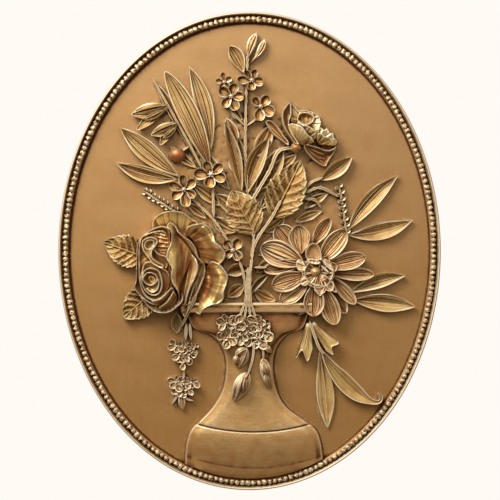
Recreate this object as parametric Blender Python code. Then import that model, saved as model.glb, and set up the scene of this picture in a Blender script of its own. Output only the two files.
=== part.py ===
"""Oval wall plaque cast in one piece: a bouquet in a footed vase, in relief inside a beaded rim.

Metres, +Z up. The flat back lies in the plane y = 0, against the wall, and the relief faces -Y.
The origin is the middle of the back.
"""

import math

import bmesh
import bpy
import numpy as np
from mathutils import Vector

# Plate and rim
PLAQUE_WIDTH = 0.240
PLAQUE_HEIGHT = 0.300
GROUND_THICKNESS = 0.009
EDGE_CHAMFER = 0.001
RIM_WIDTH = 0.0070
LIP_WIDTH = 0.0018
LIP_RELIEF = 0.0042
BEAD_DIAMETER = 0.0030
BEAD_PITCH = 0.0035
BEAD_RELIEF = 0.0042
CHANNEL_RELIEF = 0.0016

# Screw keyhole in the back
KEYHOLE_HEAD = 0.0100
KEYHOLE_SHANK = 0.0050
KEYHOLE_RISE = 0.0100
KEYHOLE_LIP = 0.0025
KEYHOLE_DEPTH = 0.0060
KEYHOLE_HEIGHT = 0.098

# How far each kind of carving stands out from the ground
VASE_RELIEF = 0.0070
VASE_LIP_RELIEF = 0.0090
BLADE_RELIEF = 0.0038
FOLIAGE_RELIEF = 0.0062
BROAD_LEAF_RELIEF = 0.0090
POD_RELIEF = 0.0070
FLORET_RELIEF = 0.0090
SPRAY_RELIEF = 0.0060
CLUSTER_RELIEF = 0.0120
DAHLIA_RELIEF = 0.0140
BOWL_FLOWER_RELIEF = 0.0140
ROSE_RELIEF = 0.0230
STEM_DIAMETER = 0.0024

# The bouquet is drawn in shares of the oval: 240 across and 300 up, from its middle
ACROSS = PLAQUE_WIDTH / 240
UP = PLAQUE_HEIGHT / 300

OVAL_SIDES = 84
ROOT_DEPTH = 0.0010
ROOT_STEP = 0.000012

CARVINGS = bpy.data.collections.new("carvings")


def clear_scene():
    for thing in list(bpy.data.objects):
        bpy.data.objects.remove(thing)
    bpy.context.scene.collection.children.link(CARVINGS)
    CARVINGS.hide_render = True


def as_object(name, shape, collection, facets=False):
    """A bmesh made into an object, its faces turned outwards."""
    bmesh.ops.recalc_face_normals(shape, faces=shape.faces)
    mesh = bpy.data.meshes.new(name)
    shape.to_mesh(mesh)
    shape.free()
    if not facets:
        mesh.shade_smooth()
        mesh.set_sharp_from_angle(angle=math.radians(40))
    made = bpy.data.objects.new(name, mesh)
    collection.objects.link(made)
    return made


# Plate with its lip and bead row


def oval_ring(inset, relief, sides):
    """Points spaced evenly round the oval, this far inside its edge. relief is one height or a function of the step."""
    half_width, half_height = PLAQUE_WIDTH / 2, PLAQUE_HEIGHT / 2
    fine = np.linspace(0, 2 * math.pi, 2881)
    pace = np.hypot(half_width * np.sin(fine), half_height * np.cos(fine))
    travelled = np.concatenate([[0], np.cumsum((pace[1:] + pace[:-1]) / 2)])
    turns = np.interp(np.arange(sides) / sides * travelled[-1], travelled, fine)
    ring = []
    for step, turn in enumerate(turns):
        outward = Vector((math.cos(turn) / half_width, 0, math.sin(turn) / half_height)).normalized()
        height = relief(step) if callable(relief) else relief
        edge = Vector((half_width * math.cos(turn), -GROUND_THICKNESS - height, half_height * math.sin(turn)))
        ring.append(edge - outward * inset)
    return ring


def oval_length():
    ring = oval_ring(0, 0, OVAL_SIDES)
    return sum((b - a).length for a, b in zip(ring, ring[1:] + ring[:1]))


def stitch(shape, outer, inner):
    """Triangles between two rings whose counts may differ, kept in step round the oval."""
    i = j = 0
    while i < len(outer) or j < len(inner):
        if (i + 1) * len(inner) <= (j + 1) * len(outer):
            shape.faces.new((outer[i], outer[(i + 1) % len(outer)], inner[j % len(inner)]))
            i += 1
        else:
            shape.faces.new((outer[i % len(outer)], inner[(j + 1) % len(inner)], inner[j]))
            j += 1


def plate():
    """The oval plate: flat back, rounded outer lip, a row of beads in its channel, and the flat ground."""
    beads = round(oval_length() / BEAD_PITCH)
    bead_axis = (RIM_WIDTH + LIP_WIDTH) / 2
    shape = bmesh.new()
    rings = [
        oval_ring(EDGE_CHAMFER, -GROUND_THICKNESS, OVAL_SIDES),
        oval_ring(0, EDGE_CHAMFER - GROUND_THICKNESS, OVAL_SIDES),
        oval_ring(0, LIP_RELIEF - LIP_WIDTH / 2, OVAL_SIDES),
        oval_ring(LIP_WIDTH / 2, LIP_RELIEF, OVAL_SIDES),
        oval_ring(LIP_WIDTH, LIP_RELIEF - LIP_WIDTH / 2, OVAL_SIDES),
        oval_ring(bead_axis - BEAD_DIAMETER / 2, CHANNEL_RELIEF, beads),
        oval_ring(bead_axis + BEAD_DIAMETER / 2, CHANNEL_RELIEF / 2, beads),
        oval_ring(RIM_WIDTH, 0, OVAL_SIDES),
    ]
    crowns = oval_ring(bead_axis, BEAD_RELIEF, 2 * beads)[1::2]
    made = [[shape.verts.new(point) for point in ring] for ring in rings]
    for outer, inner in zip(made, made[1:]):
        if len(outer) != len(inner) or outer is made[0] or len(outer) == OVAL_SIDES:
            stitch(shape, outer, inner)
    for k, crown in enumerate(crowns):
        foot = [made[5][k], made[5][(k + 1) % beads], made[6][(k + 1) % beads], made[6][k]]
        top = shape.verts.new(crown)
        for a, b in zip(foot, foot[1:] + foot[:1]):
            shape.faces.new((a, b, top))
    shape.faces.new(made[0])
    shape.faces.new(made[-1])
    return as_object("relief_plaque", shape, bpy.context.scene.collection)


# Carved shapes: each is a raised surface whose edge drops straight into the plate


def on_face(x, z, relief):
    """A point of the carving, from its place in shares of the oval and its height above the ground."""
    return Vector((x * ACROSS, -GROUND_THICKNESS - relief, z * UP))


def carving(name, rows):
    """A closed solid from rows of (x, z, height) points. Points that meet are merged."""
    shape = bmesh.new()
    grid = [[shape.verts.new(on_face(*point)) for point in row] for row in rows]
    for row, following in zip(grid, grid[1:]):
        for k in range(len(row) - 1):
            shape.faces.new((row[k], row[k + 1], following[k + 1], following[k]))
    bmesh.ops.remove_doubles(shape, verts=shape.verts, dist=1e-6)
    return rooted(name, shape)


def rooted(name, shape):
    """The raised surface closed into a solid: its edge is dropped straight down into the plate."""
    outline = [edge for edge in shape.edges if edge.is_boundary]
    walls = bmesh.ops.extrude_edge_only(shape, edges=outline)["geom"]
    root = GROUND_THICKNESS - ROOT_DEPTH - ROOT_STEP * len(CARVINGS.objects)
    for vertex in (part for part in walls if isinstance(part, bmesh.types.BMVert)):
        vertex.co.y = -root
    foot = [part for part in walls if isinstance(part, bmesh.types.BMEdge) and part.is_boundary]
    bmesh.ops.edgeloop_fill(shape, edges=foot)
    return as_object(name, shape, CARVINGS, facets=True)


def spline(points, count):
    """Evenly stepped points of a smooth curve through these ones, each a tuple of any length."""
    points = np.array(points, float)
    if len(points) == 2:
        return [tuple(p) for p in np.linspace(points[0], points[1], count)]
    ends = np.vstack([2 * points[0] - points[1], points, 2 * points[-1] - points[-2]])
    out = []
    for place in np.linspace(0, len(points) - 1, count):
        k = min(int(place), len(points) - 2)
        t = place - k
        a, b, c, d = ends[k : k + 4]
        out.append(tuple(0.5 * (2 * b + (c - a) * t + (2 * a - 5 * b + 4 * c - d) * t**2 + (3 * b - a - 3 * c + d) * t**3)))
    return out


def sideways(points, k):
    """The unit vector in the face, square to a line of points at its k-th one."""
    before, after = points[max(k - 1, 0)], points[min(k + 1, len(points) - 1)]
    run = Vector((after[0] - before[0], after[1] - before[1]))
    run.normalize()
    return Vector((-run.y, run.x))


def blade(name, root, tip, width, relief, bow=0.0, belly=0.5, blunt=0.9, fold=0.3, slope=(0.7, 1.0, 0.75), rows=5):
    """A leaf or petal: two halves that fall from the raised edges to a low midrib.

    belly says where along it is widest, blunt how round its tip is, below 1 for a round one. bow pushes
    its middle sideways. slope gives its height at root, middle and tip as shares of relief, and fold
    says how deep the midrib lies, also as a share.
    """
    (x0, z0), (x1, z1) = root, tip
    across = Vector((z0 - z1, x1 - x0)).normalized()
    lengthen = math.log(0.5) / math.log(belly)
    line, heights = [], spline([(h,) for h in slope], rows)
    for k in range(rows):
        t = k / (rows - 1)
        push = 4 * bow * t * (1 - t)
        line.append((x0 + (x1 - x0) * t + across.x * push, z0 + (z1 - z0) * t + across.y * push))
    grid = []
    for k, (x, z) in enumerate(line):
        t = k / (rows - 1)
        half = width / 2 * max(math.sin(math.pi * t**lengthen), 0) ** blunt if 0 < k < rows - 1 else 0
        side = sideways(line, k) * half
        high = relief * heights[k][0]
        low = high - fold * relief * 2 * half / width
        grid.append([(x + side.x, z + side.y, high), (x, z, low), (x - side.x, z - side.y, high)])
    return carving(name, grid)


def stem(name, points, relief, diameter=STEM_DIAMETER, rows=None):
    """A stalk along these (x, z) points: a ridge with sloping sides, its heights given from start to end."""
    rows = rows or len(points) + 1
    line = spline(points, rows)
    heights = np.linspace(relief[0], relief[1], rows)
    half = diameter / 2 / ACROSS
    grid = []
    for k, (x, z) in enumerate(line):
        side = sideways(line, k) * half
        edge = heights[k] - 0.4 * diameter
        grid.append([(x + side.x, z + side.y, edge), (x, z, heights[k]), (x - side.x, z - side.y, edge)])
    return carving(name, grid)


def dome(name, middle, length, width, turn, relief, edge=0.45, sides=8, rings=1):
    """A rounded knob or bud on an oval foot, its long axis turned by this many degrees from +X."""
    along = Vector((math.cos(math.radians(turn)), math.sin(math.radians(turn))))
    aside = Vector((-along.y, along.x))
    grid = []
    for ring in range(rings + 1):
        share = math.cos(math.pi / 2 * ring / (rings + 0.0)) if ring < rings else 0
        height = relief * (edge + (1 - edge) * math.sqrt(1 - share**2))
        row = []
        for k in range(sides + 1):
            angle = 2 * math.pi * (k % sides) / sides
            offset = along * (length / 2 * share * math.cos(angle)) + aside * (width / 2 * share * math.sin(angle))
            row.append((middle[0] + offset.x, middle[1] + offset.y, height))
        grid.append(row)
    return carving(name, grid)


def fan(name, base, rim, base_height, rim_height, rows=4, columns=6, swell=1.0, roll=0.0):
    """A broad petal that opens from a base curve to its rim, both given as (x, z) points.

    swell below 1 bulges it towards the eye, above 1 hollows it. roll turns its rim back by a share.
    """
    low, high = spline(base, columns), spline(rim, columns)
    grid = []
    for r in range(rows):
        t = r / (rows - 1)
        rise = t**swell
        height = base_height + (rim_height - base_height) * rise
        height -= roll * rim_height * max(0, (t - 0.7) / 0.3) ** 2
        grid.append([(a + (c - a) * t, b + (d - b) * t, height) for (a, b), (c, d) in zip(low, high)])
    return carving(name, grid)


def floret(name, middle, petals, relief, notch=0.45):
    """A small open flower in one piece: cupped petals round a knob, each an angle in degrees and a length."""
    petals = sorted(petals)
    count = len(petals)
    shape = bmesh.new()

    def point(angle, reach, share):
        turn = math.radians(angle)
        place = on_face(middle[0] + reach * math.cos(turn), middle[1] + reach * math.sin(turn), relief * share)
        return shape.verts.new(place)

    gaps, notches, knobs = [], [], []
    for k, (angle, length) in enumerate(petals):
        following, reach = petals[(k + 1) % count]
        gap = (following - angle) % 360
        gaps.append(gap)
        notches.append(point(angle + gap / 2, notch * (length + reach) / 2, 0.72))
        knobs.append(point(angle + gap / 2, 0.2 * (length + reach) / 2, 0.92))
    heart = point(0, 0, 1.0)
    for k, (angle, length) in enumerate(petals):
        before, after = notches[k - 1], notches[k]
        right = point(angle - min(0.3 * gaps[k - 1], 27), 0.84 * length, 0.97)
        tip = point(angle, length, 0.94)
        left = point(angle + min(0.3 * gaps[k], 27), 0.84 * length, 0.97)
        cup = point(angle, 0.5 * length, 0.70)
        for a, b in ((before, right), (right, tip), (tip, left), (left, after), (after, knobs[k]),
                     (knobs[k], knobs[k - 1]), (knobs[k - 1], before)):
            shape.faces.new((a, b, cup))
        shape.faces.new((knobs[k - 1], knobs[k], heart))
    return rooted(name, shape)


# Vase


def vase():
    """The footed vase: a flat lip, a bowl drawn in to a neck, a spreading skirt, and a cushion foot under the rim."""
    profile = [
        # left, right, height at the sides, height in the middle, relief
        (-40, 37.5, -38, -38, 0.90), (-35.5, 33.5, -48, -48, 0.95), (-24.5, 23.8, -52.6, -53, 0.95),
        (-17.4, 17.3, -60.5, -61, 0.90), (-14.8, 14.9, -71, -72, 0.85), (-16.3, 16.6, -85, -86.5, 0.80),
        (-22.5, 22.6, -97, -101, 0.76), (-32.2, 36.6, -107.8, -112.4, 0.74), (-33.2, 38, -108.8, -113.8, 0.72),
        (-34.6, 39.6, -109.8, -115, 1.06), (-38.6, 44, -118, -122, 1.12), (-40.4, 46, -128, -134, 0.9),
    ]
    floor = [(point.x / ACROSS, point.z / UP) for point in oval_ring(RIM_WIDTH - 0.0005, 0, OVAL_SIDES)]
    shares = (-1, -0.88, -0.6, 0, 0.6, 0.88, 1)
    rows = []
    for left, right, side, middle, share in profile:
        row = []
        for s in shares:
            drop = side + (middle - side) * (1 - s * s)
            row.append(((left + right) / 2 + (right - left) / 2 * s, drop, VASE_RELIEF * share * rounding(s)))
        rows.append(row)
    left, right = rows[-1][0][0], rows[-1][-1][0]
    rows.append([(x, floor_under(x, floor), min(height, VASE_RELIEF * 0.5)) for x, _, height in rows[-1]])
    carving("vase_body", rows)
    lip = [[(x, z, VASE_LIP_RELIEF * share) for x in (-42, 0, 39)]
           for z, share in ((-32.2, 0.85), (-33.4, 1.0), (-37, 1.0), (-38.4, 0.8))]
    carving("vase_lip", lip)


def rounding(share):
    """How the vase's front falls away from its middle, at 0, to its sides, at 1 and -1."""
    return 0.34 + 0.66 * (1 - abs(share) ** 2.6) ** 0.5


def floor_under(x, floor):
    """Where the rim's inner edge runs below x, in shares of the oval."""
    low = sorted(point for point in floor if point[1] < 0)
    return float(np.interp(x, [point[0] for point in low], [point[1] for point in low]))


# Foliage


def grass_blades():
    """Long grooved blades at the upper left, and the stalk that carries the pods."""
    blade("narrow_leaf", (-24, 62), (-38, 116), 11, BLADE_RELIEF * 0.8, bow=-3, belly=0.55, rows=6)
    blade("strap_leaf", (-25, 53), (-53, 112.5), 14, BLADE_RELIEF * 1.15, bow=-2, belly=0.55, blunt=0.65, fold=0.15, rows=6)
    blade("pod_leaf", (-32, 53), (-60.5, 107.5), 6, BLADE_RELIEF, bow=-2, belly=0.6, fold=0.5)
    stem("pod_stalk", [(-61, 108.5), (-50, 89.3), (-37.6, 66.8), (-30, 52)], (BLADE_RELIEF * 1.1, BLADE_RELIEF * 1.5), diameter=0.0018)
    blade("upper_left_leaf", (-43, 46), (-81, 77.5), 12.5, BLADE_RELIEF * 1.2, bow=1.0, belly=0.55)
    blade("lower_left_leaf", (-45, 45), (-84, 55.5), 10, BLADE_RELIEF * 1.3, bow=2.5, belly=0.5)


def pods():
    """Two hanging pods and a berry on the grass stalk, and a spike of seeds."""
    high = POD_RELIEF
    fan("pod_upper", [(-52, 92.5), (-51.5, 90.5), (-51.5, 88.5)],
        [(-66, 89.5), (-74, 85.2), (-67.3, 81.8), (-70.8, 75.6), (-60, 79.5)], high * 0.7, high, rows=3, columns=5, swell=0.6)
    fan("pod_lower", [(-45.5, 81.5), (-45, 80), (-45.5, 78)],
        [(-55.5, 77.5), (-61.6, 72.4), (-55.6, 70.8), (-55.8, 66), (-48.5, 72)], high * 0.7, high, rows=3, columns=5, swell=0.6)
    dome("berry", (-45.3, 60.1), 10.6, 9.6, 20, high, edge=0.4, rings=2)
    stem("berry_stalk", [(-42.5, 62.5), (-38, 65.5)], (high * 0.6, high * 0.6), diameter=0.0016)
    blade("seed_spike", (-47, 25), (-65.5, 37), 5.5, SPRAY_RELIEF, belly=0.45, fold=-0.2)


def lance_leaves():
    """Smooth folded leaves round the bouquet."""
    leaves = [
        ("leaf_right_upper", (61, 12), (93.5, 47.5), 10, 1.0, 2.0),
        ("leaf_right_middle", (61, 10), (102.5, 19.5), 10.5, 1.0, -2.5),
        ("leaf_dahlia_upper", (63, -26.5), (98, -15.5), 9, 1.3, 2.0),
        ("leaf_dahlia_lower", (64, -31), (104.5, -35), 11, 1.2, 0.5),
        ("leaf_centre_left", (-4.7, 36), (-15.5, 81), 8, 1.8, -1.0),
        ("leaf_centre_bud", (-3, 56), (-7, 71), 5, 1.3, 0.5),
        ("leaf_centre_right", (-1, 36), (12.5, 71), 11, 1.8, 2.5),
        ("leaf_centre_back", (3, 36), (21, 66), 13, 1.1, -1.0),
        ("leaf_upper_right", (44, 44), (64.5, 59), 9.5, 1.5, -0.5),
        ("leaf_lower_curl", (0, -29), (13, -14.5), 4.5, 1.8, 2.0),
        ("leaf_below_floret", (0, -11), (-15, -14.5), 8, 1.9, -1.0),
        ("leaf_below_rose", (-46, -38), (-45.5, -52), 7, 1.0, 0.0),
    ]
    for name, root, tip, width, share, bow in leaves:
        blade(name, root, tip, width, BLADE_RELIEF * share, bow=bow, belly=0.52)
    stem("sprig_arch", [(35, 36.5), (44.5, 39.5), (56, 34)], (FOLIAGE_RELIEF, FOLIAGE_RELIEF * 0.6))
    stem("sprig_hook", [(34.5, 32.5), (40.6, 32), (45, 27)], (FOLIAGE_RELIEF, FOLIAGE_RELIEF * 0.6))
    blade("sprig_spike", (61, 11), (56, 41), 5.5, BLADE_RELIEF, bow=-1.5, belly=0.5, fold=-0.2, rows=6)


def broad_leaves():
    """Toothed leaves with a strong midrib."""
    leaves = [
        ("leaf_toothed_right", (15, 21), (32.5, 56.5), 24, BROAD_LEAF_RELIEF, 0.0, 0.42),
        ("leaf_toothed_left", (3.5, 11), (-11.5, 37.5), 23, BROAD_LEAF_RELIEF, 0.0, 0.45),
        ("leaf_rose_upper", (-66, -4), (-91.5, 5.5), 20, FOLIAGE_RELIEF, 0.0, 0.4),
        ("leaf_rose_lower", (-60, -25), (-79, -42), 19, FOLIAGE_RELIEF, 0.0, 0.45),
    ]
    for name, root, tip, width, relief, bow, belly in leaves:
        blade(name, root, tip, width, relief, bow=bow, belly=belly, blunt=0.75, fold=0.18, slope=(0.8, 1.0, 0.6), rows=6)


def stems():
    """Stalks that gather at the middle and run down over the vase's lip."""
    low, high = FOLIAGE_RELIEF * 0.7, CLUSTER_RELIEF * 0.85
    stem("main_stem", [(-1, 124), (-2.2, 92), (-2.4, 60), (-1, 30), (0.5, -12)], (low, high), diameter=0.0019, rows=7)
    stem("floret_stem_left", [(-37, 34), (-23.6, 20.8), (-15.4, 9.4), (-5, -10), (-1.5, -30)], (low, high))
    stem("floret_stem_upper", [(-23, 42), (-22.3, 20.8)], (low, FOLIAGE_RELIEF))
    stem("bowl_flower_stem", [(27, 65), (18, 62), (13, 51), (6.5, 39.6), (0, 29)], (FOLIAGE_RELIEF, FOLIAGE_RELIEF))
    stem("toothed_leaf_stem", [(20, 32), (14, 21), (5.3, 8), (0.6, -4)], (BROAD_LEAF_RELIEF * 0.9, FOLIAGE_RELIEF * 1.2))
    stem("upper_right_stem", [(34, 38), (39, 43), (46, 46)], (FOLIAGE_RELIEF, FOLIAGE_RELIEF))
    stem("spray_stem_left", [(-11, 87), (-2.4, 78)], (low, low))
    stem("spray_stem_right", [(6, 84), (-2.2, 78)], (low, low))
    for number, foot in enumerate((-7.5, -3.5, 1.0, 5.0)):
        stem(f"gathered_stem_{number}", [(0.2 + 0.5 * number - 1, -10), (-2.5 + 1.1 * number, -30), (foot, -45)],
             (high * 0.8, high), rows=4)


# Flowers


def small_florets():
    """The five-petalled florets of the upper and left sprays and the one between rose and dahlia."""
    floret("floret_left", (-41, 38.5), [(160, 9), (95, 8.5), (40, 8.5), (-32, 8), (-82, 10.5), (-145, 8.5)], FLORET_RELIEF)
    floret("floret_upper_left", (-24, 48), [(178, 10), (115, 8), (42, 8.5), (-18, 9), (-100, 8)], FLORET_RELIEF)
    floret("floret_top", (1.5, 107), [(178, 8.5), (70, 6.5), (-10, 7), (-95, 6), (125, 6.5)], POD_RELIEF)
    floret("floret_top_left", (-11.5, 97), [(150, 8), (72, 7.5), (0, 7.5), (-70, 9), (-128, 8)], POD_RELIEF)
    floret("floret_top_right", (7, 90.5), [(132, 6.5), (52, 7.5), (-28, 9), (-98, 8.5)], POD_RELIEF)
    floret("floret_middle", (-10.5, 0.5), [(56, 7.5), (130, 7), (-48, 7), (-140, 6)], BROAD_LEAF_RELIEF)
    dome("spray_tuft", (-15.5, 106), 8, 6, 60, BLADE_RELIEF * 1.2, sides=6)


def top_buds():
    """The split bud and the folded leaf at the very top."""
    blade("top_bud_left", (-1.2, 117), (5, 137), 5.6, BLADE_RELIEF * 1.2, bow=1.5, belly=0.65, fold=-0.2)
    blade("top_bud_right", (-0.5, 117), (9.8, 133), 4.6, BLADE_RELIEF * 1.1, bow=-1.5, belly=0.7, fold=-0.2)
    blade("top_leaf", (-3.5, 111), (-12.5, 128.5), 9, BLADE_RELIEF * 1.1, bow=-1, belly=0.6, blunt=0.7)


def dahlia():
    """The open many-petalled flower at the right: outer petals, an inner ring, and a basin with two buttons."""
    outer = [
        ((29, 1), (17, 15.2), 14, 0.50), ((32, -2), (30.3, 15.8), 13.5, 0.68), ((34, -8), (7.4, 2.8), 16.5, 0.74),
        ((39, 3), (50.2, 20.4), 8.5, 0.50), ((43, -8), (60.2, 13), 12.5, 0.74), ((47, -10), (72.6, -3.6), 11, 0.70),
        ((50, -14), (78, -14.6), 8.5, 0.50), ((51, -16), (66.4, -33), 8, 0.56), ((52, -24), (60.4, -39), 7.5, 0.46),
        ((46, -22), (53.8, -46), 12, 0.66), ((41, -20), (39.8, -40.8), 13, 0.76), ((36, -24), (30.3, -39.6), 9, 0.54),
        ((37, -19), (19.4, -31.8), 11.5, 0.68), ((36, -15), (14.2, -22), 12.5, 0.78), ((34, -7), (9, -12), 9, 0.64),
    ]
    for number, (root, tip, width, share) in enumerate(outer):
        blade(f"dahlia_petal_{number}", root, tip, width, DAHLIA_RELIEF * share, belly=0.6, blunt=0.55, fold=0.2,
              slope=(0.95, 1.0, 0.9), rows=5)
    inner = [(101, 17.6, 10, 0.88), (-84, 13.5, 7, 0.84), (-52, 14, 6, 0.86), (-150, 12, 6, 0.84), (158, 13, 6, 0.86), (22, 12, 6, 0.8)]
    for angle, length, width, share in inner:
        turn = math.radians(angle)
        tip = (43.2 + length * math.cos(turn), -13.6 + length * math.sin(turn))
        blade(f"dahlia_inner_petal_{angle}", (43.2, -13.6), tip, width, DAHLIA_RELIEF * share, belly=0.66, blunt=0.6,
              fold=0.25, slope=(0.8, 0.92, 1.0), rows=4)
    dome("dahlia_eye", (43.2, -13.8), 15.5, 14.5, 0, DAHLIA_RELIEF * 0.86, edge=0.98, sides=10)
    dome("dahlia_button", (41.3, -12.8), 7, 7, 0, DAHLIA_RELIEF, edge=0.86, sides=8)
    dome("dahlia_button_small", (46.2, -18.2), 6.5, 5.5, 30, DAHLIA_RELIEF * 0.95, edge=0.9, sides=6)


def bowl_flower():
    """The half-open flower at the upper right, seen from the side above its calyx."""
    high = BOWL_FLOWER_RELIEF
    blade("bowl_flower_sepal_left", (27, 65), (9.8, 81), 8.5, high * 0.6, bow=1.0, belly=0.6, blunt=0.7, fold=0.4)
    fan("bowl_flower_back", [(29, 70), (34, 69), (41, 68)], [(25.5, 91.6), (31, 88.4), (38, 88.6), (44, 83.5), (45, 74)],
        high * 0.45, high * 0.72, swell=1.5)
    blade("bowl_flower_petal_left", (31, 65), (24.4, 92.8), 9, high * 0.86, bow=3.2, belly=0.6, blunt=0.7, fold=0.4)
    fan("bowl_flower_ruffle", [(37, 70), (39, 68), (41, 66)], [(43, 77.8), (49, 75.6), (53.8, 71), (54.6, 66)],
        high * 0.5, high * 0.74, columns=5)
    fan("bowl_flower_front", [(28.6, 66.5), (32, 65), (35.5, 66)],
        [(27.6, 81), (32, 79.8), (36.8, 77.5), (40, 73.5), (43, 69.5)], high * 0.6, high, swell=0.55)
    fan("bowl_flower_petal_lower", [(33, 67), (34.5, 65), (35, 62.5)],
        [(54.2, 65.4), (52, 60), (47.5, 53.4), (41, 55.2)], high * 0.5, high * 0.5, columns=5, rows=3)
    stem("bowl_flower_lip_upper", [(34, 66.4), (44.5, 63.8), (50, 62.6), (54, 65.4)], (high * 0.85, high * 0.7), diameter=0.0022)
    stem("bowl_flower_lip_lower", [(34, 65), (38, 58.5), (43.2, 54.6), (47, 53.4)], (high * 0.85, high * 0.66), diameter=0.0022)
    dome("bowl_flower_calyx", (29.3, 65), 6.5, 5.5, 20, high * 0.8, edge=0.7, sides=8)


def rose():
    """The large rose: broad outer petals opening to the right, a folded middle, and the rolled heart at the left."""
    high = ROSE_RELIEF
    fan("rose_petal_top", [(-58, 10), (-48, 8), (-36, 8)],
        [(-60, 17.5), (-59, 21), (-54.3, 24.1), (-47.3, 25.4), (-41.3, 23.8), (-32, 17.5)],
        high * 0.40, high * 0.50, swell=1.5, roll=0.1)
    fan("rose_petal_right", [(-44, 12), (-37, 5), (-32, -3), (-30, -9)],
        [(-37.5, 16), (-32, 17.2), (-26, 15.8), (-21.6, 8.5), (-14.9, -0.5), (-19.2, -8.6)],
        high * 0.30, high * 0.62, swell=0.9, roll=0.16, columns=7)
    fan("rose_petal_lower_right", [(-31, -8), (-28.5, -16), (-32, -25), (-38, -33)],
        [(-19, -7), (-13.6, -13.5), (-14.2, -21), (-16.6, -30.4), (-23, -34.8), (-32, -40)],
        high * 0.28, high * 0.62, swell=0.9, roll=0.16, columns=7)
    fan("rose_petal_fold", [(-52, 12), (-46, 2), (-42, -8), (-40, -12)],
        [(-48.3, 17.5), (-41.3, 9.6), (-36, 6), (-32.5, 0), (-28.3, -8)], high * 0.4, high * 0.68, swell=0.7)
    fan("rose_petal_fold_lower", [(-42, 2), (-42, -10), (-45, -22), (-47, -31)],
        [(-35.5, -2), (-32.2, -8), (-33.4, -15), (-37.5, -25), (-42, -34)], high * 0.4, high * 0.74, swell=0.8)
    fan("rose_heart", [(-64, 12), (-70.6, 1), (-70.4, -14), (-69, -27), (-60, -36)],
        [(-56, 15), (-50, 9), (-50, -4), (-47.5, -20), (-43.5, -31)], high * 0.62, high * 0.8, swell=0.6, columns=7)
    fan("rose_petal_middle", [(-47.5, 16), (-41, 6), (-36.2, -3), (-38, -12), (-44, -29)],
        [(-55, 15.4), (-49.2, 10), (-51.3, 0), (-48.8, -12), (-45.5, -27)], high * 0.48, high * 0.96, swell=0.6, columns=7)
    fan("rose_petal_bottom", [(-64, -24), (-55, -27), (-46, -25)],
        [(-66, -32), (-60, -37.6), (-51, -38.8), (-44.5, -35), (-41.5, -31.5)], high * 0.5, high * 0.7, swell=1.2, roll=0.1, rows=3)
    wall = 0.0022
    stem("rose_rim_left", [(-57, 15.4), (-65, 12), (-70.2, 2), (-69.8, -14), (-70.8, -24), (-61, -36.5)],
         (high * 0.8, high * 0.74), diameter=wall, rows=9)
    for name, middle, radius, turns, share in (("upper", (-61.8, 4.2), 5.3, 1.1, 0.92), ("lower", (-60.6, -16.6), 7.4, 1.35, 1.0)):
        coil = []
        for k in range(12):
            t = k / 11
            angle = math.radians(-60) + 2 * math.pi * turns * t
            reach = radius * (1 - 0.5 * t)
            coil.append((middle[0] + reach * math.cos(angle), middle[1] + reach * math.sin(angle)))
        stem(f"rose_coil_{name}", coil, (high * share * 0.93, high * share), diameter=0.75 * wall, rows=12)
    stem("rose_crease_middle", [(-61.5, -1.5), (-60, -5.5), (-55.5, -9), (-50, -13.5)], (high * 0.9, high * 0.86), diameter=wall)
    stem("rose_crease_upper", [(-55, 11), (-54.5, 4), (-57, -1), (-51.5, -4.5)], (high * 0.86, high * 0.86), diameter=wall, rows=6)
    stem("rose_crease_lower", [(-58.5, -29.5), (-53, -27), (-48, -22)], (high * 0.84, high * 0.84), diameter=wall)


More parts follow.
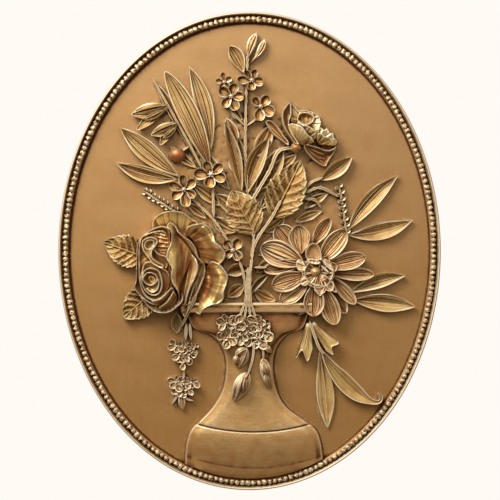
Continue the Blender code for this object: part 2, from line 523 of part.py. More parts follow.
def hanging_sprays():
    """Trailing florets and buds below the bouquet: two clusters on the left, one over the vase."""
    floret("trail_left_a", (-44, -59.5), [(75, 6), (150, 6), (215, 6), (-70, 5.5), (0, 4.5)], SPRAY_RELIEF)
    floret("trail_left_b", (-35.5, -60.5), [(110, 6), (35, 6), (-40, 6), (-110, 5.5), (180, 4)], SPRAY_RELIEF * 0.96)
    floret("trail_left_c", (-41, -69), [(60, 4.5), (140, 5), (215, 5), (-40, 5)], SPRAY_RELIEF * 1.05)
    floret("trail_left_d", (-45, -82), [(70, 5.5), (140, 5.5), (210, 6), (-60, 5)], SPRAY_RELIEF)
    floret("trail_left_e", (-37, -84), [(110, 6), (40, 6.5), (-50, 6), (200, 5)], SPRAY_RELIEF * 0.96)
    stem("trail_left_stalks", [(-39.5, -45), (-40, -56)], (SPRAY_RELIEF, SPRAY_RELIEF * 0.8))
    stem("trail_left_link", [(-41, -70), (-41.3, -86)], (SPRAY_RELIEF * 0.5, SPRAY_RELIEF * 0.5), diameter=0.0016)
    stem("trail_left_sepal_a", [(-43, -87.5), (-48.5, -96)], (SPRAY_RELIEF * 0.8, SPRAY_RELIEF * 0.5), diameter=0.0016)
    stem("trail_left_sepal_b", [(-43, -88), (-39.5, -92.5), (-35, -94)], (SPRAY_RELIEF * 0.8, SPRAY_RELIEF * 0.6), diameter=0.0016)
    blade("trail_left_tip", (-43, -88.5), (-41.8, -100), 4.4, SPRAY_RELIEF * 0.6, fold=-0.2, rows=5)
    stem("rose_long_sepal", [(-33, -27.5), (-38, -37), (-41.5, -44), (-44, -52)], (ROSE_RELIEF * 0.5, SPRAY_RELIEF))

    high = CLUSTER_RELIEF
    floret("trail_vase_left", (-11.2, -49), [(130, 8.5), (60, 7.5), (-10, 6), (-75, 7.5), (-135, 8)], high)
    floret("trail_vase_right", (6, -49.5), [(105, 8), (45, 8), (-15, 7), (-75, 7.5), (-150, 6.5), (165, 6.5)], high * 0.98)
    floret("trail_vase_middle", (-2.2, -54.5), [(90, 6), (200, 5.5), (-30, 6), (-100, 5)], high * 0.94)
    blade("trail_vase_leaf", (9, -58), (14, -64), 3.6, high * 0.85, fold=-0.1, rows=5)
    blade("bud_small_left", (-1, -59), (-8, -73), 7, high * 0.95, bow=1, fold=-0.15, slope=(0.9, 1, 0.75))
    stem("bud_stalk_middle", [(3, -57), (2, -67), (-1.2, -78)], (high * 0.9, high * 0.85), diameter=0.002)
    blade("bud_large", (-0.5, -76), (-9.5, -94), 9.5, high, bow=-0.5, belly=0.42, blunt=0.7, fold=-0.15, slope=(0.85, 1, 0.7))
    stem("bud_stalk_right", [(7, -58), (8.6, -63), (8.6, -70)], (high * 0.9, high * 0.8), diameter=0.0018)
    blade("bud_right", (8.3, -67), (13, -86.5), 7, high * 0.95, belly=0.4, blunt=0.75, fold=-0.15, slope=(0.85, 1, 0.7))


def bell_spray():
    """The drooping spray at the lower right: two bells, a plain blade, and a blade with a curled tip."""
    high = POD_RELIEF
    fan("bell_left", [(35.6, -45.5), (37, -45.2), (38.4, -45.5)],
        [(31, -60), (29, -67), (33, -62.5), (36.3, -69), (39.4, -61.5)], high * 0.6, high, rows=3, columns=5, swell=0.7)
    fan("bell_right", [(38.2, -46.5), (39.4, -45.2), (40.4, -44.2)],
        [(48, -62.5), (52.4, -65), (51.6, -60.4), (56, -57.5), (49, -51)], high * 0.6, high, rows=3, columns=5, swell=0.7)
    stem("bell_stalk", [(37.5, -43.5), (43, -59), (46.5, -64.5)], (POD_RELIEF, BLADE_RELIEF * 1.4))
    blade("leaf_hanging", (43.5, -60), (49, -111.5), 11, BLADE_RELIEF * 0.6, bow=1, belly=0.58, rows=6)
    line = [(44.5, -61), (51, -72), (58.5, -81), (67, -89), (75.5, -94), (81, -94.6), (82.6, -91.5), (80.5, -89.2)]
    widths = (0.5, 6.4, 10.4, 9.6, 4.4, 2.4, 2.0, 0.8)
    grid = []
    for k, ((x, z), width) in enumerate(zip(line, widths)):
        side = sideways(line, k) * width / 2
        high = BLADE_RELIEF * 1.4
        grid.append([(x + side.x, z + side.y, high), (x, z, high * (1 - 0.05 * width)), (x - side.x, z - side.y, high)])
    carving("leaf_curled", grid)


# Fixing on the back


def keyhole_cutters():
    """The keyhole's mouth, a round entry with a narrower slot above it, and the wide pocket behind its lip."""
    mouth = slot_outline(KEYHOLE_HEAD / 2, KEYHOLE_SHANK / 2)
    pocket = slot_outline(KEYHOLE_HEAD / 2, KEYHOLE_HEAD / 2)
    return [
        prism("keyhole_mouth", mouth, 0.001, -KEYHOLE_LIP - 0.0005),
        prism("keyhole_pocket", pocket, -KEYHOLE_LIP, -KEYHOLE_DEPTH),
    ]


def slot_outline(lower_radius, upper_radius, steps=8):
    """Round entry at the bottom joined to a round-ended slot above, as (x, z) points."""
    points = []
    half = math.asin(min(1, upper_radius / lower_radius))
    for k in range(2 * steps + 1):
        angle = math.pi / 2 + half + (2 * math.pi - 2 * half) * k / (2 * steps)
        points.append((lower_radius * math.cos(angle), KEYHOLE_HEIGHT + lower_radius * math.sin(angle)))
    for k in range(steps + 1):
        angle = math.pi * k / steps
        points.append((upper_radius * math.cos(angle), KEYHOLE_HEIGHT + KEYHOLE_RISE + upper_radius * math.sin(angle)))
    return points


def prism(name, outline, front, back):
    shape = bmesh.new()
    near = [shape.verts.new((x, front, z)) for x, z in outline]
    far = [shape.verts.new((x, back, z)) for x, z in outline]
    shape.faces.new(near)
    shape.faces.new(far)
    for k in range(len(outline)):
        following = (k + 1) % len(outline)
        shape.faces.new((near[k], near[following], far[following], far[k]))
    made = as_object(name, shape, bpy.context.scene.collection, facets=True)
    made.hide_render = True
    made.display_type = "WIRE"
    return made


def bronze():
    """Bronzed finish, worn pale on what stands out."""
    made = bpy.data.materials.new("antique_bronze")
    made.use_nodes = True
    shader = made.node_tree.nodes["Principled BSDF"]
    shader.inputs["Base Color"].default_value = (0.50, 0.30, 0.12, 1)
    shader.inputs["Metallic"].default_value = 0.8
    shader.inputs["Roughness"].default_value = 0.42
    return made


def build():
    clear_scene()
    body = plate()
    body.data.materials.append(bronze())
    vase()
    grass_blades()
    pods()
    lance_leaves()
    broad_leaves()
    stems()
    small_florets()
    top_buds()
    dahlia()
    bowl_flower()
    rose()
    hanging_sprays()
    bell_spray()
    join = body.modifiers.new("join_carvings", "BOOLEAN")
    join.operation = "UNION"
    join.solver = "EXACT"
    join.operand_type = "COLLECTION"
    join.collection = CARVINGS
    join.use_self = True
    for cutter in keyhole_cutters():
        cut = body.modifiers.new("cut_" + cutter.name, "BOOLEAN")
        cut.operation = "DIFFERENCE"
        cut.solver = "EXACT"
        cut.object = cutter


build()
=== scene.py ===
import math

import bmesh
import bpy
import numpy as np
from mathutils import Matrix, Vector, noise as clay_noise
from mathutils.bvhtree import BVHTree


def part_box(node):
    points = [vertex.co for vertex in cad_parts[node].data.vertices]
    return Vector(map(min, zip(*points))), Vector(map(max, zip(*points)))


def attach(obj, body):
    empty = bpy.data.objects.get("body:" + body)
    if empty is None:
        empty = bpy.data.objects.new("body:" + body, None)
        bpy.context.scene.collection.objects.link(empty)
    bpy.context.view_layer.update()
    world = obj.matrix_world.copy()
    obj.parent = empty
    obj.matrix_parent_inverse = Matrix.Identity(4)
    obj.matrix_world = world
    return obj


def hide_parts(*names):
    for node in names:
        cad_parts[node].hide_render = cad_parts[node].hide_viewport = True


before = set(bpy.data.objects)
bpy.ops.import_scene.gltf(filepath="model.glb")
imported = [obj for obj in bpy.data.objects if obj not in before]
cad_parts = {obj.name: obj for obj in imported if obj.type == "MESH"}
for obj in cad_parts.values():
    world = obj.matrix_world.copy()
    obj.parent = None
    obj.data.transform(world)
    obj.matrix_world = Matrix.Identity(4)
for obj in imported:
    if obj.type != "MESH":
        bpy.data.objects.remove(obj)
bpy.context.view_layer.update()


# The plate: an oval of filled resin, cast in a rubber mould, with a flat back, a round lip, a channel for
# the beads and a nearly flat ground that carries the relief. Its finish, the base of all the others, is
# sprayed gold, washed with dark brown that stays in the hollows, and rubbed pale where it stands out.
# Towards the bottom the plate's gold also darkens: painted light falloff.

low_corner, high_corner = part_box("relief_plaque")
HALF_WIDTH = (high_corner.x - low_corner.x) / 2
HALF_HEIGHT = (high_corner.z - low_corner.z) / 2
ACROSS = 2 * HALF_WIDTH / 240
UP = 2 * HALF_HEIGHT / 300
GROUND_THICKNESS = 0.009
HIGHEST_RELIEF = -low_corner.y - GROUND_THICKNESS
MM = 0.001
BURIED = -0.4

RIM_WIDTH = 7.0
LIP_WIDTH = 1.9
LIP_RELIEF = 4.2
CHANNEL_RELIEF = 1.5
BEAD_AXIS = (RIM_WIDTH + LIP_WIDTH) / 2
POINTS_ROUND_PLATE = 384
RINGS_OF_BACK = 16
RINGS_OF_GROUND = 140

GOLD = (0.50, 0.265, 0.085, 1)
OLIVE_GOLD = (0.42, 0.300, 0.092, 1)
DEEP_GOLD = (0.25, 0.108, 0.024, 1)
PALE_GOLD = (0.73, 0.63, 0.45, 1)
BROWN_WASH = (0.066, 0.018, 0.0018, 1)
COPPER = (0.30, 0.075, 0.018, 1)


class Wire:
    """An output socket that can be reckoned with: each operator adds the Math node that does it."""

    def __init__(self, tree, socket=None):
        self.tree, self.socket = tree, socket

    def node(self, kind, values=(), out=0, stops=(), **settings):
        """Adds a node: its settings, then a ramp's stops, then the values or links of its sockets."""
        made = self.tree.nodes.new(kind)
        for setting, value in settings.items():
            setattr(made, setting, value)
        for k, (position, colour) in enumerate(stops):
            stop = made.color_ramp.elements[k] if k < 2 else made.color_ramp.elements.new(position)
            stop.position, stop.color = position, colour
        for name, value in dict(values).items():
            if isinstance(value, Wire):
                self.tree.links.new(value.socket, made.inputs[name])
            else:
                made.inputs[name].default_value = value
        return Wire(self.tree, made.outputs[out])

    def reckon(self, operation, *values):
        return self.node("ShaderNodeMath", enumerate(values), operation=operation)

    def __add__(self, other):
        return self.reckon("ADD", self, other)

    def __sub__(self, other):
        return self.reckon("SUBTRACT", self, other)

    def __rsub__(self, other):
        return self.reckon("SUBTRACT", other, self)

    def __mul__(self, other):
        return self.reckon("MULTIPLY", self, other)

    __radd__, __rmul__ = __add__, __mul__

    def held(self):
        """Held between 0 and 1."""
        return self.node("ShaderNodeClamp", {0: self})

    def ramp(self, start, end):
        """0 up to start, 1 from end on, and a smooth slope between."""
        values = {"Value": self, "From Min": start, "From Max": end}
        return self.node("ShaderNodeMapRange", values, interpolation_type="SMOOTHSTEP")


def tint(share, first, second):
    """The first colour turned into the second by a share."""
    values = {0: share, 6: first, 7: second}
    return share.node("ShaderNodeMix", values, out=2, data_type="RGBA")


def gilding(name, gold=GOLD, second=OLIVE_GOLD, painted_falloff=0.0, blush=0.0, rub=1.0, wash=1.0, streaks=0.0,
            brush=(3.2, 1, 0.22), mottle=0.0, gloss=0.0):
    """The plaque's finish, sprayed in two golds in patches or, by its falloff share, turning from the first
    gold high up to the second low down: painted light falloff, where the lamp's light is weaker. blush
    adds copper in hollows and where the gold is thin, rub and wash are how pale the crests and how dark the
    hollows get, and both also paint highlight and shade on faces turned to and from the lamp, streaks are
    the brush's, mottle is the rag's on flat ground, gloss how far it is polished."""
    made = bpy.data.materials.new(name)
    made.use_nodes = True
    tree = made.node_tree
    shader = tree.nodes["Principled BSDF"]
    start = Wire(tree)
    place = start.node("ShaderNodeTexCoord", out="Object")

    def noise(size, detail=4, rough=0.55, stretch=(1, 1, 1), distort=0.0):
        """Noise from 0 to 1 whose patches are about this many metres across."""
        spot = place.node("ShaderNodeMapping", {"Vector": place, "Scale": stretch})
        values = {"Vector": spot, "Scale": 1 / size, "Detail": detail, "Roughness": rough,
                  "Distortion": distort}
        return spot.node("ShaderNodeTexNoise", values)

    crest, shade, groove_and_painted_shade = [start.node("ShaderNodeAttribute", out="Fac", attribute_name=kept)
                            for kept in ("crest", "shade", "groove_and_painted_shade")]
    patches = noise(0.020, 3)
    blots = noise(0.0042, 4, 0.6, distort=0.6)
    specks = noise(0.0013, 5, 0.72)
    brushed = noise(0.004, 4, 0.6, stretch=brush)
    up = place.node("ShaderNodeSeparateXYZ", {"Vector": place}, out="Z")

    closed = 1 - shade
    # Painted shade and highlight: the sunk value read from the points counts faces turned away from the
    # lamp as sunk and faces turned towards it as raised, so the first gather wash and the second rub pale.
    sunk = closed * 1.55 + groove_and_painted_shade * 1.1 - crest * 0.5 + (specks - 0.5) * 0.6 + (blots - 0.5) * 0.4
    hollow = sunk.ramp(0.22, 0.80) * wash
    raised = crest - groove_and_painted_shade * 0.9 + (specks - 0.5) * 0.8 + (blots - 0.5) * 0.8 - closed * 0.2
    worn = raised.ramp(0.34, 1.02) * rub

    # Painted light falloff: with the falloff share the gold turns from the first colour high up to the
    # second low down, where the lamp's light is weaker.
    patches_and_painted_falloff = (patches * 2.4 - 0.7) * (1 - painted_falloff) + (0.5 - up * 3.6 + (patches - 0.5) * 0.5) * painted_falloff
    base = tint(patches_and_painted_falloff.held(), gold, second)
    base = tint((closed * 0.9 + (patches - 0.5) * 0.5).held(), base, DEEP_GOLD)
    base = tint((((blots - 0.45) * 3).held() * closed.ramp(0.03, 0.30) * mottle).held(), base, PALE_GOLD)
    base = tint(((brushed - 0.5) * streaks + 0.05).held(), base, PALE_GOLD)
    thin_gold = ((noise(0.008, 2) - 0.45) * 4).held() * 0.6 * (1 - crest.held())
    copper = thin_gold + (closed.ramp(0.08, 0.50) - crest * 1.4).held()
    base = tint((copper * blush).held(), base, COPPER)
    base = tint(hollow.held(), base, BROWN_WASH)
    base = tint(worn.held(), base, PALE_GOLD)
    metal = 0.70 - 0.20 * hollow - 0.12 * worn
    rough = (0.60 - gloss * 0.18 + 0.18 * hollow - 0.02 * worn + (specks - 0.5) * 0.20
             + (brushed - 0.5) * 0.10)
    grain = noise(0.0006, 3, 0.6) * 0.30 + noise(0.0030, 4) * 0.60
    grain = grain + noise(0.0065, 2) * 1.6 * (1 - mottle) + brushed * streaks * 1.5
    bump = grain.node("ShaderNodeBump", {"Strength": 0.30, "Distance": 0.00040, "Height": grain})
    fed = {"Base Color": base, "Metallic": metal.held(), "Roughness": rough.held(), "Normal": bump}
    for socket, wire in fed.items():
        tree.links.new(wire.socket, shader.inputs[socket])
    shader.inputs["Specular IOR Level"].default_value = 0.28
    return made


def at_height(spots, height, crest):
    """Points at these (x, z) spots, with one height and crest for all or one for each."""
    return np.column_stack([spots, np.full(len(spots), height), np.full(len(spots), crest)])


def wrap(grid, capped=False):
    """A shape from rows of closed loops of (x, z, height, crest) points: the points and the quads between
    them, and where it is capped also a face on the first and on the last loop."""
    rows, around = grid.shape[:2]
    k = np.arange(rows * around).reshape(rows, around)
    following = np.roll(k, -1, axis=1)
    quads = np.stack([k[:-1], following[:-1], following[1:], k[1:]], -1).reshape(-1, 4)
    caps = [k[0].tolist(), k[-1].tolist()[::-1]] if capped else []
    return grid.reshape(-1, 4), quads.tolist() + caps


def keep_on(mesh, name, values):
    """Keeps one number on each point of a mesh, for its finish to read."""
    mesh.attributes.new(name, "FLOAT", "POINT").data.foreach_set("value", values.astype(np.float32))


def put(name, data):
    """A new object of this name in the scene."""
    made = bpy.data.objects.new(name, data)
    bpy.context.scene.collection.objects.link(made)
    return made


def grown(piece):
    """The mesh that the piece's modifiers make of it, in their place."""
    piece.data = bpy.data.meshes.new_from_object(piece.evaluated_get(bpy.context.evaluated_depsgraph_get()))
    piece.modifiers.clear()


MERGING_DISTANCE = 1e-7
SHARPEST_SMOOTH_EDGE = math.radians(62)


def cast(name, shapes, finish):
    """One piece of the relief from its shapes, at its place on the ground, with its finish on."""
    points, faces = [], []
    for shape_points, shape_faces in shapes:
        offset = sum(len(p) for p in points)
        points.append(shape_points)
        faces += [[k + offset for k in face] for face in shape_faces]
    points = np.vstack(points)
    places = np.column_stack([points[:, 0] * ACROSS, -GROUND_THICKNESS - points[:, 2] * MM,
                              points[:, 1] * UP])
    places[:, 1] = np.maximum(places[:, 1], -GROUND_THICKNESS - HIGHEST_RELIEF)
    mesh = bpy.data.meshes.new(name)
    mesh.from_pydata(places.tolist(), [], faces)
    keep_on(mesh, "crest", points[:, 3])
    shape = bmesh.new()
    shape.from_mesh(mesh)
    corners, first = list(shape.verts), 0
    for shape_points, _ in shapes:
        bmesh.ops.remove_doubles(shape, verts=corners[first:first + len(shape_points)],
                                 dist=MERGING_DISTANCE)
        first += len(shape_points)
    bmesh.ops.holes_fill(shape, edges=[edge for edge in shape.edges if edge.is_boundary])
    bmesh.ops.recalc_face_normals(shape, faces=shape.faces)
    shape.to_mesh(mesh)
    shape.free()
    mesh.shade_smooth()
    mesh.set_sharp_from_angle(angle=SHARPEST_SMOOTH_EDGE)
    mesh.materials.append(finish)
    return mounted(put(name, mesh))


PIECES = []


def mounted(piece):
    """The piece rides on the plaque, whose one solid it stands for."""
    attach(piece, "root")
    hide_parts("relief_plaque")
    PIECES.append(piece)
    return piece


def oval(inset, count):
    """Evenly spaced points of the oval, this many millimetres inside its edge, and its length in metres."""
    turn = np.linspace(0, 2 * np.pi, 4097)
    edge = np.column_stack([HALF_WIDTH * np.cos(turn), HALF_HEIGHT * np.sin(turn)])
    travelled = np.concatenate([[0], np.cumsum(np.linalg.norm(np.diff(edge, axis=0), axis=1))])
    turn = np.interp(np.arange(count) / count * travelled[-1], travelled, turn)
    outward = np.column_stack([np.cos(turn) / HALF_WIDTH, np.sin(turn) / HALF_HEIGHT])
    outward /= np.linalg.norm(outward, axis=1)[:, None]
    edge = np.column_stack([HALF_WIDTH * np.cos(turn), HALF_HEIGHT * np.sin(turn)]) - outward * inset * MM
    return edge / (ACROSS, UP), travelled[-1]


def plate():
    """Rings from the middle of the back, round the edge and over the lip, to the middle of the ground."""
    back = -GROUND_THICKNESS / MM
    profile = [
        # inset from the edge, height over the ground, crest
        (1.0, back, 0), (0.3, back + 0.25, 0), (0.0, back + 1.0, 0), (0.0, -3.0, 0), (0.0, 1.8, 0),
        (0.04, 2.7, 0.05), (0.2, 3.5, 0.3), (0.45, 4.0, 0.75), (0.75, LIP_RELIEF, 0.8), (1.05, 4.1, 0.7),
        (1.35, 3.75, 0.4), (1.65, 3.3, 0.3), (1.95, 2.8, 0.3), (2.3, 2.2, 0.1), (2.7, CHANNEL_RELIEF, -0.1),
        # The channel's inner flank beside the beads is copper-dark: the wash in the channel together with
        # painted shade of the beads.
        (BEAD_AXIS, 1.2, -0.2), (BEAD_AXIS + 1.3, 1.0, -0.5), (BEAD_AXIS + 1.7, 0.7, -0.7),
        (BEAD_AXIS + 2.1, 0.35, -0.7), (BEAD_AXIS + 2.6, 0.12, -0.5),
        (RIM_WIDTH + 0.9, 0.03, -0.2), (RIM_WIDTH + 2.2, 0.0, 0.05),
    ]
    count = POINTS_ROUND_PLATE
    shares = np.linspace(0.05, 0.97, RINGS_OF_BACK)
    rows = [at_height(oval(profile[0][0], count)[0] * share, back, 0) for share in shares]
    rows += [at_height(oval(inset, count)[0], height, crest) for inset, height, crest in profile]
    edge = rows[-1][:, :2]
    for share in np.linspace(0, 1, RINGS_OF_GROUND)[1:] ** 0.8:
        ring = edge * (1 - share)
        x, z = ring[:, 0], ring[:, 1]
        swell = 0.10 * np.sin(x * 0.11 + 1.3) * np.sin(z * 0.07) + 0.05 * np.sin(z * 0.31 + x * 0.05)
        tooled = np.exp(-(((x + 2) / 52) ** 4) - (((z - 34) / 58) ** 4)) * (np.abs(x) < 90)
        uneven = [clay_noise.fractal((a * 0.24, b * 0.24, 0), 1.0, 2.1, 2) if t > 0.02 else 0
                  for a, b, t in zip(x, z, tooled)]
        swell = swell + 0.34 * tooled * np.array(uneven)
        rows.append(at_height(ring, swell * min(1, 6 * share) * (1 - share**20), 0.05))
    points, faces = wrap(np.array(rows))
    faces.append(list(range(count))[::-1])
    return points, faces


# Painted light falloff: the ground's gold turns darker towards the bottom, away from the lamp at the upper
# left.
ground_finish = gilding("gilded_ground", (0.39, 0.224, 0.088, 1), (0.33, 0.160, 0.033, 1), painted_falloff=1.0,
                        rub=0.9, wash=1.0, streaks=0.10, mottle=0.6)
plate_piece = cast("plate", [plate()], ground_finish)

KEYHOLE_HEAD = 10.0
KEYHOLE_SHANK = 5.0
KEYHOLE_RISE = 10.0
KEYHOLE_HEIGHT = 98.0
KEYHOLE_LIP = 2.5
KEYHOLE_DEPTH = 6.0


def keyhole(name, upper_radius, near, far):
    """A cutter: the round entry below joined to a round-ended slot above it, between two depths."""
    lower_radius = KEYHOLE_HEAD / 2
    half = math.asin(min(1, upper_radius / lower_radius))
    lower = np.linspace(math.pi / 2 + half, 2.5 * math.pi - half, 32)
    upper = np.linspace(0, math.pi, 16)
    outline = [(lower_radius * math.cos(a), KEYHOLE_HEIGHT + lower_radius * math.sin(a)) for a in lower]
    outline += [(upper_radius * math.cos(a), KEYHOLE_HEIGHT + KEYHOLE_RISE + upper_radius * math.sin(a))
                for a in upper]
    shape = bmesh.new()
    ends = [[shape.verts.new((x * MM, depth * MM, z * MM)) for x, z in outline] for depth in (near, far)]
    for end in ends:
        shape.faces.new(end)
    for k in range(len(outline)):
        after = (k + 1) % len(outline)
        shape.faces.new((ends[0][k], ends[0][after], ends[1][after], ends[1][k]))
    bmesh.ops.recalc_face_normals(shape, faces=shape.faces)
    mesh = bpy.data.meshes.new(name)
    shape.to_mesh(mesh)
    shape.free()
    return put(name, mesh)


cutters = [keyhole("keyhole_mouth", KEYHOLE_SHANK / 2, 1.0, -KEYHOLE_LIP - 0.5),
           keyhole("keyhole_pocket", KEYHOLE_HEAD / 2, -KEYHOLE_LIP, -KEYHOLE_DEPTH)]
for cutter in cutters:
    cut = plate_piece.modifiers.new(cutter.name, "BOOLEAN")
    cut.operation, cut.solver, cut.object = "DIFFERENCE", "EXACT", cutter
grown(plate_piece)
for cutter in cutters:
    bpy.data.objects.remove(cutter)


# The bead row: round beads side by side in the rim's channel, all cast with the plate. They are rubbed pale
# on top, and the wash stays between them. Each is a little off in size and shape, as hand-pressed beading
# is.

BEAD_DIAMETER = 3.1
BEAD_PITCH = 3.5


def numbers(items, what, wide=3, kind=np.float32):
    """One row of numbers for each point, edge or triangle of a mesh."""
    found = np.zeros(len(items) * wide, kind)
    items.foreach_get(what, found)
    return found.reshape(-1, wide)


def bead_tree():
    """Geometry nodes that set beads evenly along an oval and turn them into one mesh."""
    tree = bpy.data.node_groups.new("bead_row", "GeometryNodeTree")
    inputs = {"Count": "Int", "Half Width": "Float", "Half Height": "Float", "Bead Radius": "Float",
              "Relief": "Float", "Unevenness": "Float", "Lumpiness": "Float", "Finish": "Material"}
    for name, kind in inputs.items():
        tree.interface.new_socket(name, in_out="INPUT", socket_type="NodeSocket" + kind)
    tree.interface.new_socket("Geometry", in_out="OUTPUT", socket_type="NodeSocketGeometry")
    given = tree.nodes.new("NodeGroupInput")
    ask = {socket.name: Wire(tree, socket) for socket in given.outputs if socket.name}
    start = Wire(tree)
    circle = start.node("GeometryNodeCurvePrimitiveCircle", {"Resolution": 720, "Radius": 1.0})
    stretch = start.node("ShaderNodeCombineXYZ",
                         {"X": ask["Half Width"], "Y": ask["Half Height"], "Z": 1.0})
    ring = start.node("GeometryNodeTransform", {"Geometry": circle, "Scale": stretch})
    upright = start.node("ShaderNodeCombineXYZ", {"Y": ask["Relief"] * -1})
    ring = start.node("GeometryNodeTransform",
                      {"Geometry": ring, "Rotation": (math.pi / 2, 0, 0), "Translation": upright})
    row = start.node("GeometryNodeResampleCurve", {"Curve": ring, "Count": ask["Count"]})
    bead = start.node("GeometryNodeMeshUVSphere",
                      {"Segments": 14, "Rings": 10, "Radius": ask["Bead Radius"]})
    bead = start.node("GeometryNodeSetShadeSmooth", {"Geometry": bead})
    size = start.node("FunctionNodeRandomValue",
                      {2: 1 - ask["Unevenness"], 3: 1 + ask["Unevenness"], "Seed": 7}, out=1)
    turn = start.node("FunctionNodeRandomValue", {0: (-0.3, -0.3, -0.3), 1: (0.3, 0.3, 0.3), "Seed": 3},
                      data_type="FLOAT_VECTOR")
    values = {"Points": row, "Instance": bead, "Scale": size, "Rotation": turn}
    placed = start.node("GeometryNodeInstanceOnPoints", values)
    solid = start.node("GeometryNodeRealizeInstances", {"Geometry": placed})
    lumps = start.node("ShaderNodeTexNoise", {"Scale": 700.0, "Detail": 2.0}, out=1)
    lumps = start.node("ShaderNodeVectorMath", {0: lumps, 1: (0.5, 0.5, 0.5)}, operation="SUBTRACT")
    lumps = start.node("ShaderNodeVectorMath", {0: lumps, "Scale": ask["Lumpiness"]}, operation="SCALE")
    solid = start.node("GeometryNodeSetPosition", {"Geometry": solid, "Offset": lumps})
    solid = start.node("GeometryNodeSetMaterial", {"Geometry": solid, "Material": ask["Finish"]})
    finished = tree.nodes.new("NodeGroupOutput")
    tree.links.new(solid.socket, finished.inputs["Geometry"])
    return tree


bead_finish = gilding("gilded_beads", rub=0.68, wash=1.0, blush=0.3)
sizes = {
    "Count": round(oval(0, 64)[1] / MM / BEAD_PITCH), "Bead Radius": 1.05 * BEAD_DIAMETER / 2 * MM,
    "Half Width": HALF_WIDTH - BEAD_AXIS * MM, "Half Height": HALF_HEIGHT - BEAD_AXIS * MM,
    "Relief": GROUND_THICKNESS + 2.4 * MM, "Unevenness": 0.08, "Lumpiness": 2.6 * MM, "Finish": bead_finish,
}
beads = put("bead_row", bpy.data.meshes.new("bead_row"))
growing = beads.modifiers.new("bead_row", "NODES")
growing.node_group = bead_tree()
for socket in growing.node_group.interface.items_tree:
    if socket.name in sizes:
        growing[socket.identifier] = sizes[socket.name]
grown(beads)
bead_tops = (-numbers(beads.data.vertices, "co", kind=float)[:, 1] - GROUND_THICKNESS) / MM
keep_on(beads.data, "crest", np.clip((bead_tops - 2.9) / 1.3, 0, 0.9))
mounted(beads)


# The vase: low relief with soft sides, a flat lip, a bowl drawn in to a neck, a spreading skirt with a
# crease at its end, and a cushion foot that runs under the rim. It is cast with the plate and brushed
# lengthwise.

VASE_RELIEF = 7.0


def through(a, b, c, d, t):
    """Where the smooth curve from b to c, led by a and d, is at the share t of the way."""
    return 0.5 * (2 * b + (c - a) * t + (2 * a - 5 * b + 4 * c - d) * t**2 + (3 * b - a - 3 * c + d) * t**3)


def spline(points, count):
    """Evenly stepped points of a smooth curve through these ones, each a tuple of any length."""
    points = np.array(points, float)
    if len(points) == 2:
        return np.linspace(points[0], points[1], count)
    ends = np.vstack([2 * points[0] - points[1], points, 2 * points[-1] - points[-2]])
    place = np.linspace(0, len(points) - 1, count)
    k = np.minimum(place.astype(int), len(points) - 2)
    return through(ends[k], ends[k + 1], ends[k + 2], ends[k + 3], (place - k)[:, None])


def rounding(share):
    """How the vase's front falls away from its middle, at 0, to its sides, at 1 and -1."""
    return 0.34 + 0.66 * (1 - np.abs(share) ** 2.6) ** 0.5


